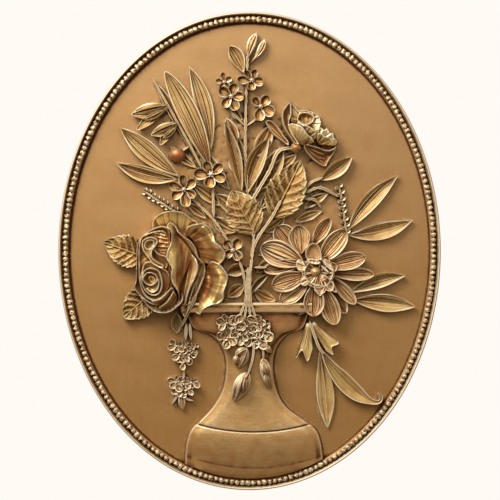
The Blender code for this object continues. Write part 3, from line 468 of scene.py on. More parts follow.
def vase():
    """The body, swept down through its profile to the rim, and the flat lip across its mouth."""
    profile = np.array([
        # left, right, height at the sides, height in the middle, relief, crest
        # The crest column is darkest high on the bowl, the wash under the lip together with painted shade
        # of the lip, and fades down the neck.
        (-40, 37.5, -38, -38, 0.86, -0.7), (-35.5, 33.5, -48, -48, 0.86, -0.5),
        (-24.5, 23.8, -52.6, -53, 0.84, -0.35),
        (-17.4, 17.3, -60.5, -61, 0.80, -0.1), (-14.8, 14.9, -71, -72, 0.76, 0.15),
        (-16.3, 16.6, -85, -86.5, 0.77, 0.35),
        (-22.5, 22.6, -97, -101, 0.82, 0.35), (-32.2, 36.6, -107.8, -112.4, 0.88, 0.35),
    ])
    smooth = spline(profile, 56)
    crease = np.array([(-32.5, 37.0, -108.1, -112.8, 0.86, 0.0), (-32.9, 37.5, -108.4, -113.2, 0.74, -0.6),
                       (-33.5, 38.2, -108.8, -113.6, 0.82, 0.1)])
    foot = spline([(-34.0, 38.8, -109.1, -114.0, 0.93, 1.0), (-34.8, 39.7, -109.9, -114.9, 0.95, 0.45),
                   (-37.6, 42.8, -114, -119, 0.97, 0.1),
                   (-39.6, 45, -121, -127, 0.90, -0.2), (-40.4, 46, -128, -136, 0.72, -0.4)], 24)
    table = np.vstack([smooth, crease, foot])
    shares = np.sin(np.linspace(-1, 1, 49) * np.pi / 2)
    floor = oval(RIM_WIDTH - 0.3, 720)[0]
    floor = floor[floor[:, 1] < 0]
    floor = floor[np.argsort(floor[:, 0])]
    rows = []
    for left, right, side, middle, relief, crest in table:
        x = (left + right) / 2 + (right - left) / 2 * shares
        z = side + (middle - side) * (1 - shares**2)
        z = np.maximum(z, np.interp(x, floor[:, 0], floor[:, 1]))
        height = VASE_RELIEF * relief * rounding(shares)
        edge = (1 - np.abs(shares)) * (right - left) / 2
        bead = np.exp(-(((edge - 0.7) / 0.45) ** 2))
        root = np.exp(-(((edge - 3.2) / 1.6) ** 2))
        tone = crest * (1 - bead) + 0.6 * bead - 0.35 * root * (np.abs(shares) > 0.5)
        rows.append(np.column_stack([x, z, height + 0.3 * bead - 0.22 * root, tone]))
    last = rows[-1].copy()
    for share, height in ((0.5, 0.42), (0.85, 0.22), (1.0, 0.06)):
        row = last.copy()
        bottom = np.interp(row[:, 0], floor[:, 0], floor[:, 1])
        row[:, 1] += (bottom - row[:, 1]) * share
        row[:, 2] = np.minimum(row[:, 2], VASE_RELIEF * (0.5 + 0.5 * (1 - share)) if share < 1 else 1.6)
        row[:, 2] = np.minimum(row[:, 2], VASE_RELIEF * height * 2 + 1.2)
        rows.append(row)
    closed = []
    for row in rows:
        right, left = row[-1], row[0]
        # A thin copper-dark line on the ground round the vase: the wash in the corner together with painted
        # shade of the vase's edge.
        under = [(right[0] + 0.25, right[1], 0.7, -0.6), (right[0] + 0.8, right[1], 0.12, -1),
                 (right[0] + 0.8, right[1], BURIED, 0), ((right[0] + left[0]) / 2, row[24][1], BURIED, 0),
                 (left[0] - 0.8, left[1], BURIED, 0), (left[0] - 0.8, left[1], 0.12, -1),
                 (left[0] - 0.25, left[1], 0.7, -0.6)]
        closed.append(np.vstack([row, under]))
    lip_rows = []
    for x in np.linspace(-42, 39, 40):
        wobble = 0.03 * math.sin(x * 0.7)
        loop = [(-38.9, BURIED, 0), (-38.6, 7.6, 0), (-38.2, 8.4, 0.2), (-37.6, 8.75, 0.4),
                (-36.4, 8.8, 0.1), (-35.0, 8.7 + wobble, 0),
                (-33.9, 8.85, 0.2), (-33.2, 8.95, 0.5), (-32.5, 8.5, 0.3), (-32.1, 7.2, 0.1),
                (-31.9, BURIED, 0)]
        lip_rows.append([(x, z, height, crest) for z, height, crest in loop])
    return [wrap(np.array(closed), capped=True), wrap(np.array(lip_rows), capped=True)]


vase_finish = gilding("gilded_vase", (0.52, 0.30, 0.095, 1), (0.50, 0.30, 0.11, 1), rub=0.55, wash=0.9,
                      streaks=0.3, brush=(0.3, 1, 2.6), blush=0.42, gloss=0.8)
cast("vase", vase(), vase_finish)


# Leaves: folded lance leaves and grass blades, each a thin sheet that falls from raised edges to a midrib,
# with lines along it. They are cast with the plate, undercut a little, and their edges are rubbed pale.

BLADE_RELIEF = 3.8
FOLIAGE_RELIEF = 6.2
BROAD_LEAF_RELIEF = 9.0
POD_RELIEF = 7.0
THIN = 0.8


def steps(count):
    """Places from -1 to 1, closer together at the ends and, for a midrib, in the middle."""
    s = np.linspace(-1, 1, count)
    a = np.abs(s)
    return np.sign(s) * (0.3 * a + 0.7 * (3 * a**2 - 2 * a**3))


def blade(root, tip, width, relief, bow=0.0, belly=0.5, blunt=0.9, fold=0.7, slope=(0.75, 1.0, 0.75),
          lip=0.5, rib=0.45, lines=1, line=0.12, cup=0.0, veins=0, teeth=0, ruffle=0.0, along=36,
          across=29, seed=0.0, undercut=0.72, red=0.0, fibres=0.05):
    """A leaf or petal, in millimetres and in shares of the plaque. Its fourth value, the crest, is 1 on a
    raised edge or line that the rag rubs pale, and below 0 towards the root, which keeps its copper.

    fold is how deep the midrib lies and cup how hollow it is, lip and rib how high its edge and midrib
    stand, lines the grooves along each half, veins the slanting ones, teeth the notches of its edge."""
    root, tip = np.array(root, float), np.array(tip, float)
    run = tip - root
    square = np.array([-run[1], run[0]]) / np.linalg.norm(run)
    lengthen = math.log(0.5) / math.log(belly)
    u = 0.5 - 0.5 * np.cos(np.pi * np.linspace(0, 1, along))
    v = steps(across)

    def middle(place):
        return root + run * place[:, None] + square * (4 * bow * place * (1 - place))[:, None]

    ahead = middle(np.minimum(u + 0.01, 1)) - middle(np.maximum(u - 0.01, 0))
    side = np.column_stack([-ahead[:, 1], ahead[:, 0]]) / np.linalg.norm(ahead, axis=1)[:, None]
    body = np.clip(np.sin(np.pi * u**lengthen), 0, 1) ** blunt
    half = width / 2 * body
    if teeth:
        half = half * (1 + 0.07 * body * (np.mod(u * teeth + 0.2, 1) - 0.5) * 2 * (u > 0.08))
    half[1:-1] = np.maximum(half[1:-1], 0.02)
    high = relief * spline([(h,) for h in slope], 101)[:, 0][np.round(u * 100).astype(int)]
    A, H, U = np.abs(v)[None, :], half[:, None], u[:, None]
    inner = (1 - A) * H
    fullness = body[:, None]
    worn_off = 0.72 + 0.28 * np.sin(7 * U + 2.1 * seed + 1.5 * np.sign(v)[None, :]) * np.sin(4 * U - seed)
    edge = lip * worn_off * np.exp(-(((inner - 0.45) / 0.52) ** 2)) * np.minimum(1, H / 1.4)
    spine = rib * np.exp(-((v[None, :] * H / 0.42) ** 2)) * np.minimum(1, H) * (1 - 0.5 * U)
    grooves = line * np.cos(2 * np.pi * (A * (lines + 0.5) + 0.06 * np.sin(5 * U + seed))) * (lines > 0)
    strands = (np.sin(v[None, :] * 17 + seed) + np.sin(v[None, :] * 27 + 2 * seed + 2 * U)
               + np.sin(v[None, :] * 38 - seed + 3 * U))
    grooves = (grooves + fibres * strands) * np.clip(inner / 0.8, 0, 1) * np.minimum(1, H / 1.5)
    slant = 0.0
    if veins:
        phase = (U - 0.28 * A**1.3) * veins
        ridge = np.exp(-(((np.mod(phase, 1) - 0.5) / 0.13) ** 2))
        puff = 0.5 - 0.5 * np.cos(2 * np.pi * phase)
        slant = (0.30 * ridge + 0.34 * puff - 0.22) * np.clip(inner, 0, 1) * np.clip(A * 8, 0, 1)
    waving = np.sin(2 * np.pi * (2.2 * U + 0.35 * np.sign(v)[None, :]) + seed)
    wave = ruffle * A**2 * np.minimum(1, H) * waving
    top = (high[:, None] - fold * relief * (1 - A) * fullness - cup * (1 - A**2) * fullness + edge + spine
           + grooves + slant + wave)
    crest = np.clip(edge / max(lip, 0.01) + 0.6 * spine / max(rib, 0.01) + 0.9 * np.clip(grooves, 0, 1)
                    + (0.9 * np.clip(slant, 0, 1) if veins else 0), 0, 1)
    coppered = 0.6 * (1 - U) ** 2 + red * np.exp(-(((U - 0.62) / 0.28) ** 2)) * (1 - A**2)
    crest = crest - coppered * (1 - crest)
    x = middle(u)[:, 0][:, None] + side[:, 0][:, None] * v[None, :] * H
    z = middle(u)[:, 1][:, None] + side[:, 1][:, None] * v[None, :] * H
    front = np.stack([x, z, top, crest], -1)

    def skirt(sign, share, spread, height, tone, draw):
        """A line along one flank, a share of the half width and some spread out, drawn in at its ends."""
        offset = side * (sign * (half * share + spread * np.minimum(1, half)))[:, None]
        return at_height(middle(0.5 + (u - 0.5) * (1 - draw)) + offset, height, tone)[:, None, :]

    def walls(sign, rim):
        """The lines from an edge down to the ground: over its lip, under it and down the drawn-in flank."""
        return [skirt(sign, 1.0, 0.10, rim - 0.16, 0.75, -0.004),
                skirt(sign, 1.0, 0.08, rim - 0.45, 0.25, -0.003),
                skirt(sign, 1.0, -0.15, rim - THIN, 0.0, 0.01),
                skirt(sign, undercut, 0.0, np.maximum(rim * 0.5 - 0.3, 0.2), 0.0, 0.06),
                skirt(sign, undercut * 0.85, 0.0, BURIED, 0.0, 0.10)]

    right, left, under = walls(1, top[:, -1]), walls(-1, top[:, 0]), skirt(1, 0.0, 0.0, BURIED, 0.0, 0.10)
    return wrap(np.concatenate([front] + right + [under] + left[::-1], axis=1))


leaf_finish = gilding("gilded_leaves", (0.60, 0.40, 0.15, 1), (0.48, 0.34, 0.11, 1), blush=0.6, rub=0.9,
                      wash=0.80, gloss=-0.4)
leaf_table = [
    # root, tip, width, relief, bow
    ((61, 12), (93.5, 47.5), 10, 1.0, 2.0), ((61, 10), (102.5, 19.5), 10.5, 1.0, -2.5),
    ((63, -26.5), (98, -15.5), 9, 1.3, 2.0), ((64, -31), (104.5, -35), 11, 1.2, 0.5),
    ((-4.7, 36), (-15.5, 81), 8, 1.8, -1.0), ((-3, 56), (-7, 71), 5, 1.3, 0.5),
    ((-1, 36), (12.5, 71), 11, 1.8, 2.5), ((3, 36), (21, 66), 13, 1.1, -1.0),
    ((44, 44), (64.5, 59), 9.5, 1.5, -0.5), ((0, -29), (13, -14.5), 4.5, 1.8, 2.0),
    ((0, -11), (-15, -14.5), 8, 1.9, -1.0), ((-46, -38), (-45.5, -52), 7, 1.0, 0.0),
]
leaves = []
for number, (root, tip, width, share, bow) in enumerate(leaf_table):
    leaves.append(blade(root, tip, width, BLADE_RELIEF * share, bow=bow, belly=0.52, seed=number, lines=1,
                        fold=0.85, rib=0.3, fibres=0.10, along=48, across=37, ruffle=0.2))
leaves += [
    blade((-24, 62), (-38, 116), 11, BLADE_RELIEF * 0.8, bow=-3, belly=0.55, lines=2, line=0.16, fold=0.3,
          fibres=0.12, along=44, across=49),
    blade((-25, 53), (-53, 112.5), 13.5, BLADE_RELIEF * 1.15, bow=-2, belly=0.55, blunt=0.6, lines=3,
          line=0.15, fold=0.25, fibres=0.13, along=44, across=65),
    blade((-32, 53), (-60.5, 107.5), 6.5, BLADE_RELIEF, bow=-2, belly=0.6, fold=0.7, lines=0, along=40),
    blade((-43, 46), (-81, 77.5), 12.5, BLADE_RELIEF * 1.2, bow=1.0, belly=0.55, lines=2, line=0.18,
          fibres=0.12, along=44, across=49),
    blade((-45, 45), (-84, 55.5), 10, BLADE_RELIEF * 1.3, bow=2.5, belly=0.5, lines=1, line=0.2,
          fibres=0.12, red=0.6, along=44, across=37),
    blade((43.5, -60), (49, -111.5), 11, BLADE_RELIEF * 0.6, bow=1, belly=0.58, lines=1, fold=0.4, lip=0.35,
          along=44),
]
low_leaves = [
    ((-8, 64), (-14.5, 84), 9), ((-3.5, 82), (-11, 91), 5), ((1.5, 58), (14, 80), 10),
    ((8, 44), (30, 61), 9), ((-12, 38), (-26, 62), 8), ((-18, 28), (-36, 42), 8), ((-27, 20), (-40, 30), 6),
    ((-8, 12), (-23, 22), 9), ((-5, 22), (-22, 36), 9), ((5, -3), (15, 9), 7), ((4, -14), (20, -6), 8),
    ((-3, -21), (-14, -29), 8), ((3, -24), (17, -31), 8), ((34, 26), (50, 36), 6), ((28, 18), (46, 25), 6),
    ((-30, 66), (-43, 82), 6), ((7, 26), (18, 38), 8), ((-4, 48), (-13, 58), 6), ((9, 12), (22, 22), 7),
    ((-33, 52), (-50, 66), 6),
]
for number, (root, tip, width) in enumerate(low_leaves):
    leaves.append(blade(root, tip, width, 2.1 + 0.35 * math.sin(3 * number), bow=1.5 * math.sin(2 * number),
                        belly=0.5, seed=number, lip=0.35, fold=0.6, rib=0.3, along=26, across=21,
                        red=0.5, ruffle=0.2))
cast("leaves", leaves, leaf_finish)


# Toothed leaves: four broad leaves with notched edges, slanting veins and puffed skin between them, cast
# with the plate and rubbed on every vein.

broad_finish = gilding("gilded_broad_leaves", gold=(0.44, 0.295, 0.098, 1), blush=0.45, rub=0.65, wash=0.85,
                       gloss=-0.5)
broad_table = [
    ((15, 21), (32.5, 56.5), 24, BROAD_LEAF_RELIEF, 0.42),
    ((3.5, 11), (-11.5, 37.5), 23, BROAD_LEAF_RELIEF, 0.45),
    ((-66, -4), (-91.5, 5.5), 20, FOLIAGE_RELIEF, 0.4), ((-60, -25), (-79, -42), 19, FOLIAGE_RELIEF, 0.45),
]
broad = []
for number, (root, tip, width, relief, belly) in enumerate(broad_table):
    broad.append(blade(root, tip, width, relief, belly=belly, blunt=0.75, fold=0.32, slope=(0.8, 1.0, 0.6),
                       lip=0.3, rib=0.9, lines=0, cup=-0.2, veins=6, teeth=9, ruffle=1.1, along=96,
                       across=57, seed=number * 1.7, undercut=0.6, red=0.6, fibres=0.03))
cast("toothed_leaves", broad, broad_finish)


# Stems: thin stalks that gather behind the flowers and run down over the vase's lip, round on top and
# webbed to the ground, as cast stalks are so that they don't snap.


def stem(points, heights, thickness=2.2, rows=None, knots=0.0):
    """A round stalk along (x, z) points, joined to the ground by a thin web under it."""
    points = np.array(points, float)
    length = np.linalg.norm(np.diff(points, axis=0), axis=1).sum()
    rows = rows or int(max(8, length / 1.3))
    line = spline(points, rows)
    share = np.linspace(0, 1, rows)
    height = spline([(h,) for h in heights], rows)[:, 0]
    ahead = np.gradient(line, axis=0)
    side = np.column_stack([-ahead[:, 1], ahead[:, 0]]) / np.linalg.norm(ahead, axis=1)[:, None]
    rough = (np.sin(share * length * 0.9) * np.sin(share * length * 0.37 + 1)
             + 0.5 * np.sin(share * length * 1.7 + 2))
    radius = thickness * 0.56 * (1 + (knots + 0.06) * rough)
    rounded = np.ones(rows)
    rounded[:3], rounded[-3:] = (0.02, 0.6, 0.88), (0.88, 0.6, 0.02)
    radius = radius * rounded
    loop = []
    for angle in np.radians(np.linspace(205, -25, 15)):
        furrow = 1 - 0.20 * math.cos(math.pi * math.cos(angle) * 2)
        level = height + radius * (furrow * math.sin(angle) - 1)
        loop.append((line + side * (radius * math.cos(angle))[:, None], level,
                     max(0, math.sin(angle)) ** 2 * (furrow - 0.2)))
    web = height - 2.6 * radius
    for reach, level in ((0.45, web), (0.40, BURIED), (-0.40, BURIED), (-0.45, web)):
        loop.append((line + side * (radius * reach)[:, None], np.maximum(level, BURIED), 0))
    return wrap(np.stack([at_height(*place) for place in loop], axis=1), capped=True)


stem_finish = gilding("gilded_stems", (0.42, 0.24, 0.085, 1), blush=0.35, rub=0.55, wash=1.15)
LOW_STEM = FOLIAGE_RELIEF * 0.7
CLUSTER_RELIEF = 12.0
HIGH_STEM = CLUSTER_RELIEF * 0.85
stems = [
    stem([(-1, 124), (-2.2, 92), (-2.4, 60), (-1, 36), (2.6, 10), (0.5, -14)],
         (LOW_STEM, LOW_STEM, 5.2, 5.0, 7.0, HIGH_STEM), 1.8,
         rows=150, knots=0.25),
    stem([(-37, 34), (-23.6, 20.8), (-15.4, 9.4), (-5, -10), (-1.5, -30)], (LOW_STEM, HIGH_STEM * 0.9), 1.8,
         rows=90, knots=0.2),
    stem([(-23, 42), (-22.3, 20.8)], (LOW_STEM, FOLIAGE_RELIEF), 2.0, knots=0.1),
    stem([(27, 65), (18, 62), (13, 51), (6.5, 39.6), (0, 29)], (FOLIAGE_RELIEF, FOLIAGE_RELIEF), 2.6,
         knots=0.08),
    stem([(20, 32), (14, 21), (5.3, 8), (0.6, -4)], (BROAD_LEAF_RELIEF * 0.9, FOLIAGE_RELIEF * 1.2), 2.2,
         knots=0.1),
    stem([(34, 38), (39, 43), (46, 46)], (FOLIAGE_RELIEF, FOLIAGE_RELIEF), 2.0),
    stem([(-11, 87), (-2.4, 78)], (LOW_STEM, LOW_STEM), 1.5),
    stem([(6, 84), (-2.2, 78)], (LOW_STEM, LOW_STEM), 1.5),
    stem([(35, 36.5), (44.5, 39.5), (56, 34)], (FOLIAGE_RELIEF, FOLIAGE_RELIEF * 0.6), 2.2, knots=0.2),
    stem([(34.5, 32.5), (40.6, 32), (45, 27)], (FOLIAGE_RELIEF, FOLIAGE_RELIEF * 0.6), 2.2, knots=0.2),
    stem([(-61, 108.5), (-50, 89.3), (-37.6, 66.8), (-30, 52)], (BLADE_RELIEF * 1.1, BLADE_RELIEF * 1.5),
         1.6),
    stem([(-42.5, 62.5), (-38, 65.5)], (POD_RELIEF * 0.6, POD_RELIEF * 0.6), 1.5),
    stem([(-52.5, 91), (-49.5, 89)], (POD_RELIEF * 0.8, POD_RELIEF * 0.7), 1.5),
    stem([(-46, 80.5), (-43.5, 78.5)], (POD_RELIEF * 0.8, POD_RELIEF * 0.7), 1.5),
    stem([(2.6, -10.3), (11, -10.3)], (HIGH_STEM * 0.9, HIGH_STEM * 0.9), 1.6),
]
for number, foot in enumerate((-7.5, -3.5, 1.0, 5.0)):
    stems.append(stem([(0.2 + 0.5 * number - 1, -10), (-2.5 + 1.1 * number, -30), (foot, -45)],
                      (HIGH_STEM * 0.8, HIGH_STEM), 1.7, rows=44, knots=0.2))
cast("stems", stems, stem_finish)


# Pods, berry and spikes: two split pods hang from the grass stalk with a smooth berry below them, and
# spikes of small seeds stand at both sides of the bouquet, all cast with the plate.


def dome(middle, length, width, turn, relief, edge=0.45, sides=28, rings=10, grooves=0, depth=0.0,
         pale=0.5):
    """A rounded knob or bud on an oval foot, its long axis turned by this many degrees from +X."""
    undercut = 0.8
    along = np.array([math.cos(math.radians(turn)), math.sin(math.radians(turn))])
    aside = np.array([-along[1], along[0]])
    angle = np.linspace(0, 2 * np.pi, sides, endpoint=False)
    furrow = 1 - depth * (0.5 + 0.5 * np.cos(grooves * angle)) if grooves else np.ones(sides)
    rows = []

    def ring(share, height, crest):
        spots = (np.array(middle) + along * (length / 2 * share * np.cos(angle) * furrow)[:, None]
                 + aside * (width / 2 * share * np.sin(angle) * furrow)[:, None])
        rows.append(at_height(spots, height, crest))

    for lift in np.linspace(0, np.pi / 2, rings):
        share = math.sin(lift)
        ring(share, relief * (edge + (1 - edge) * math.cos(lift)), pale * math.cos(lift) ** 2)
    ring(0.97, relief * edge - 0.35 * min(width, 4) * 0.3, 0.0)
    ring(undercut, relief * edge * 0.5, 0.0)
    ring(undercut * 0.8, BURIED, 0.0)
    ring(0.0, BURIED, 0.0)
    return wrap(np.array(rows))


def fan(base, rim, base_height, rim_height, swell, creases, columns=48):
    """A broad petal that opens from a base curve to its rim, its edge thickened to a round lip."""
    lip, round_rim, undercut = 0.45, 0.45, 2.5
    low, high = spline(base, columns), spline(rim, columns)
    T, C = 1 - (1 - np.linspace(0, 1, 26)[:, None]) ** 1.7, np.linspace(0, 1, columns)[None, :]
    left = (1 - T) * np.maximum(np.linalg.norm(high - low, axis=1), 0.5)[None, :]
    x = low[None, :, 0] * (1 - T) + high[None, :, 0] * T
    z = low[None, :, 1] * (1 - T) + high[None, :, 1] * T
    height = base_height + (rim_height - base_height) * T**swell
    fine = np.sin(C * 61 + 2.3 * T) + 0.6 * np.sin(C * 97 - 1.7 * T) + 0.5 * np.sin(C * 29 + 3 * T)
    fine = creases * fine * np.sin(np.pi * np.clip(T * 1.05, 0, 1))
    edge = lip * np.exp(-(((left - round_rim) / (round_rim * 1.05)) ** 2))
    top = height + fine + edge
    crest = np.clip(edge / lip + np.clip(fine / creases * 0.35, 0, 0.5), 0, 1)
    outward = (high - low) / np.linalg.norm(high - low, axis=1)[:, None]
    walls = [(0.12, top[-1] - 0.25, 0.9), (0.14, top[-1] - 0.6, 0.5), (-0.15, top[-1] - 1.0, 0.0),
             (-undercut * 0.6, top[-1] * 0.55, 0.0), (-undercut, BURIED, 0.0)]
    grid = [np.stack([x, z, top, crest], -1)]
    grid += [at_height(high + outward * offset, height, crest)[None] for offset, height, crest in walls]
    grid.append(at_height(low, BURIED, 0)[None])
    return wrap(np.concatenate(grid, axis=0).transpose(1, 0, 2), capped=True)


def along_line(start, end, count, jitter, seed):
    """Places along a line with a little sideways scatter, the same each run."""
    chance = np.random.default_rng(seed)
    line = np.linspace(start, end, count)
    return line + chance.uniform(-jitter, jitter, line.shape)


pod_finish = gilding("gilded_pods", (0.33, 0.21, 0.06, 1), (0.36, 0.24, 0.07, 1), blush=0.6, rub=0.7,
                     wash=1.3, gloss=0.5)
berry_finish = gilding("coppered_berry", (0.28, 0.100, 0.034, 1), (0.36, 0.14, 0.04, 1), blush=0.7, rub=0.3,
                       wash=0.9, gloss=0.8)
pods = [
    fan([(-52, 92.5), (-51.5, 90.5), (-51.5, 88.5)], [(-60, 92.0), (-66, 89.6), (-74, 85.3), (-67.0, 82.5)],
        POD_RELIEF * 0.75, POD_RELIEF, swell=0.5, creases=0.12),
    fan([(-52, 91), (-51.8, 89.5), (-51.5, 88)], [(-67.5, 82.0), (-70.8, 75.6), (-64, 77.8), (-57, 82.5)],
        POD_RELIEF * 0.6, POD_RELIEF * 0.85, swell=0.6, creases=0.12),
    fan([(-45.5, 81.5), (-45, 80), (-45.5, 78)], [(-51, 80.6), (-56, 77.6), (-61.6, 72.4), (-55.4, 71.2)],
        POD_RELIEF * 0.75, POD_RELIEF, swell=0.5, creases=0.12),
    fan([(-45.5, 80), (-45, 79), (-45.5, 77.5)], [(-56, 71), (-55.8, 66), (-51, 69.2), (-48, 73)],
        POD_RELIEF * 0.6, POD_RELIEF * 0.85, swell=0.6, creases=0.12),
    blade((-51.5, 91), (-74, 85.6), 6.4, POD_RELIEF * 1.1, bow=-1.0, belly=0.5, fold=-0.22,
          slope=(0.8, 1, 0.8), lip=0.35, rib=0.5, lines=1, red=0.4),
    blade((-52, 89.6), (-68, 81.6), 4.6, POD_RELIEF * 1.0, bow=0.8, belly=0.5, fold=-0.15, lip=0.35,
          rib=0.3, lines=1, red=0.9),
    blade((-45, 80), (-61.8, 72.6), 5.4, POD_RELIEF * 1.1, bow=-0.8, belly=0.5, fold=-0.22,
          slope=(0.8, 1, 0.8), lip=0.35, rib=0.5, lines=1, red=0.4),
    blade((-45.5, 78.6), (-55.4, 69.6), 4.0, POD_RELIEF * 1.0, bow=0.6, belly=0.5, fold=-0.15, lip=0.35,
          rib=0.3, lines=1, red=0.9),
]
for k, (x, z) in enumerate(along_line((-46, 24.5), (-65.5, 37), 15, 0.4, 5)):
    lean = np.array([-1.2, 1.4]) + np.array([1.3, 1.5]) * (-1) ** k
    pods.append(blade((x, z), np.array([x, z]) + lean * 1.3, 2.3, FOLIAGE_RELIEF * (0.92 - 0.03 * k),
                      fold=0.2, lip=0.3, rib=0, lines=0, along=12, across=9))
pods.append(stem([(-44, 23), (-55, 30), (-66, 37.4)], (FOLIAGE_RELIEF * 0.85, BLADE_RELIEF * 0.8), 1.5,
                 knots=0.2))
for k, (x, z) in enumerate(along_line((60.5, 11), (56.2, 40), 15, 0.4, 6)):
    lean = np.array([2.9 * (-1) ** k, 2.6])
    pods.append(blade((x, z), np.array([x, z]) + lean, 2.2, BLADE_RELIEF * (1.1 - 0.02 * k), fold=0.2,
                      lip=0.3, rib=0, lines=0, along=12, across=9))
pods.append(stem([(61, 9), (59, 25), (56, 42)], (BLADE_RELIEF, BLADE_RELIEF * 0.6), 1.5, knots=0.2))
cast("pods", pods, pod_finish)
cast("berry", [dome((-45.3, 60.1), 10.6, 9.6, 20, POD_RELIEF, edge=0.35, rings=12, pale=-0.3)],
     berry_finish)


# Small florets: open flowers of four to six petals round a knob, one at the end of each thin stalk, with
# hollow, round-tipped petals that are rubbed bright on their thick edges.

floret_finish = gilding("gilded_florets", blush=0.8, rub=1.0, wash=1.0, gloss=0.3)


def floret(middle, petals, relief, width=5.4, knob=3.0, seed=0.0, curl=1.6):
    """A small flower: a petal for each angle in degrees and length, round a knob of little anthers."""
    middle = np.array(middle, float)
    shapes = []
    for number, (angle, length) in enumerate(petals):
        turn = math.radians(angle)
        ahead = np.array([math.cos(turn), math.sin(turn)])
        gap = min(abs((angle - other[0] + 180) % 360 - 180) for other in petals if other != (angle, length))
        wide = min(1.2 * width * length / 8, 1.9 * length * 0.66 * math.sin(math.radians(min(gap, 80)) / 2)
                   + 1.0)
        shapes.append(blade(middle - ahead * 0.3, middle + ahead * length * 1.06, wide,
                            relief * (1 - 0.03 * (number % 2)), belly=0.66, blunt=0.42, fold=0.0, cup=curl,
                            slope=(0.74, 0.92, 0.96), lip=0.5, rib=0.0, lines=0, along=20, across=17,
                            seed=seed + number, undercut=0.6))
    if knob:
        shapes.append(dome(middle, knob * 0.8, knob * 0.8, 0, relief * 1.02, edge=0.85, sides=12, rings=6))
        for k in range(6):
            turn = k * math.pi / 3 + seed
            spot = middle + knob * 0.42 * np.array([math.cos(turn), math.sin(turn)])
            shapes.append(dome(spot, knob * 0.3, knob * 0.3, 0, relief * 1.0, edge=0.9, sides=8, rings=4))
    return shapes


FLORET_RELIEF = 8.6
florets = (
    floret((-41, 38.5), [(160, 9), (95, 8.5), (40, 8.5), (-32, 8), (-82, 10.5), (-145, 8.5)], FLORET_RELIEF,
           6.4)
    + floret((-24, 48), [(178, 10), (115, 8), (42, 8.5), (-18, 9), (-100, 8)], FLORET_RELIEF, 6.8, knob=4,
             seed=1)
    + floret((1.5, 107), [(178, 8.5), (70, 6.5), (-10, 7), (-95, 6), (125, 6.5)], POD_RELIEF, 6, seed=2)
    + floret((-11.5, 97), [(150, 8), (72, 7.5), (0, 7.5), (-70, 9), (-128, 8)], POD_RELIEF, 6, seed=3)
    + floret((7, 90.5), [(132, 6.5), (52, 7.5), (-28, 9), (-98, 8.5)], POD_RELIEF, 6, seed=4)
    + floret((-10.5, 0.5), [(56, 7.5), (130, 7), (-48, 7), (-140, 6)], BROAD_LEAF_RELIEF, 6, seed=5)
)
florets += floret((-15.8, 106), [(100, 5.5), (30, 5), (-50, 5), (170, 5), (-120, 5)], BLADE_RELIEF * 1.3, 5,
                  knob=2.4, seed=9, curl=1.0)
florets += [
    blade((-1.2, 117), (5, 137), 5.6, BLADE_RELIEF * 1.2, bow=1.5, belly=0.65, fold=-0.15, lines=1),
    blade((-0.5, 117), (9.8, 133), 4.6, BLADE_RELIEF * 1.1, bow=-1.5, belly=0.7, fold=-0.15, lines=1),
    blade((-3.5, 111), (-12.5, 128.5), 9, BLADE_RELIEF * 1.1, bow=-1, belly=0.6, blunt=0.7, lines=2),
]
cast("florets", florets, floret_finish)


# The open flower: a broad dahlia at the right, with long striped petals in two layers. The sculptor laid
# petal over petal in clay, and layers() does the same for its eye, a basin of small folded petals with two
# buttons.

DAHLIA_RELIEF = 14.0
dahlia_finish = gilding("gilded_dahlia", (0.74, 0.49, 0.23, 1), (0.68, 0.455, 0.19, 1), blush=0.6, rub=1.0,
                        wash=0.68)
outer_petals = [
    ((29, 1), (17, 15.2), 14, 0.50), ((32, -2), (30.3, 15.8), 13.5, 0.68),
    ((34, -8), (7.4, 2.8), 16.5, 0.74), ((39, 3), (50.2, 20.4), 8.5, 0.50),
    ((43, -8), (60.2, 13), 12.5, 0.74), ((47, -10), (72.6, -3.6), 11, 0.70),
    ((50, -14), (78, -14.6), 8.5, 0.50), ((51, -16), (66.4, -33), 8, 0.56),
    ((52, -24), (60.4, -39), 7.5, 0.46), ((46, -22), (53.8, -46), 12, 0.66),
    ((41, -20), (39.8, -40.8), 13, 0.76), ((36, -24), (30.3, -39.6), 9, 0.54),
    ((37, -19), (19.4, -31.8), 11.5, 0.68), ((36, -15), (14.2, -22), 12.5, 0.78),
    ((34, -7), (9, -12), 9, 0.64),
]
dahlia = []
for number, (root, tip, width, share) in enumerate(outer_petals):
    bold = number == 2
    dahlia.append(blade(root, tip, width, DAHLIA_RELIEF * share, belly=0.6, blunt=0.5, fold=0.0, cup=2.4,
                        slope=(0.9, 1.0, 0.9), lip=0.65, rib=0.0, lines=3 if bold else 0, line=0.4,
                        along=40, across=41, seed=number * 1.3, ruffle=0.25, undercut=0.6,
                        red=(0.45, 0.3, 0, 0.5, 0.3)[number % 5], fibres=0.15))
eye = np.array([43.2, -13.6])
for angle, length, width, share in [(-84, 13.5, 8, 0.84), (-52, 14, 7, 0.86), (-150, 13, 7, 0.84),
                                    (158, 13.5, 7.5, 0.86), (22, 12.5, 7, 0.8), (60, 12, 6, 0.82)]:
    turn = math.radians(angle)
    dahlia.append(blade(eye, eye + length * np.array([math.cos(turn), math.sin(turn)]), width,
                        DAHLIA_RELIEF * share, belly=0.66, blunt=0.6, fold=0.0, cup=1.4,
                        slope=(0.8, 0.92, 1.0), lip=0.55, rib=0.1, lines=2, along=26, across=25,
                        seed=angle))
cast("dahlia", dahlia, dahlia_finish)


def ring_through(points, count):
    """Evenly stepped points of a smooth closed curve through these ones."""
    points = np.array(points, float)
    closed = np.vstack([points[-1:], points, points[:2]])
    place = np.arange(count) / count * len(points)
    k = place.astype(int)
    return through(closed[k], closed[k + 1], closed[k + 2], closed[(k + 3) % len(closed)],
                   (place - k)[:, None])


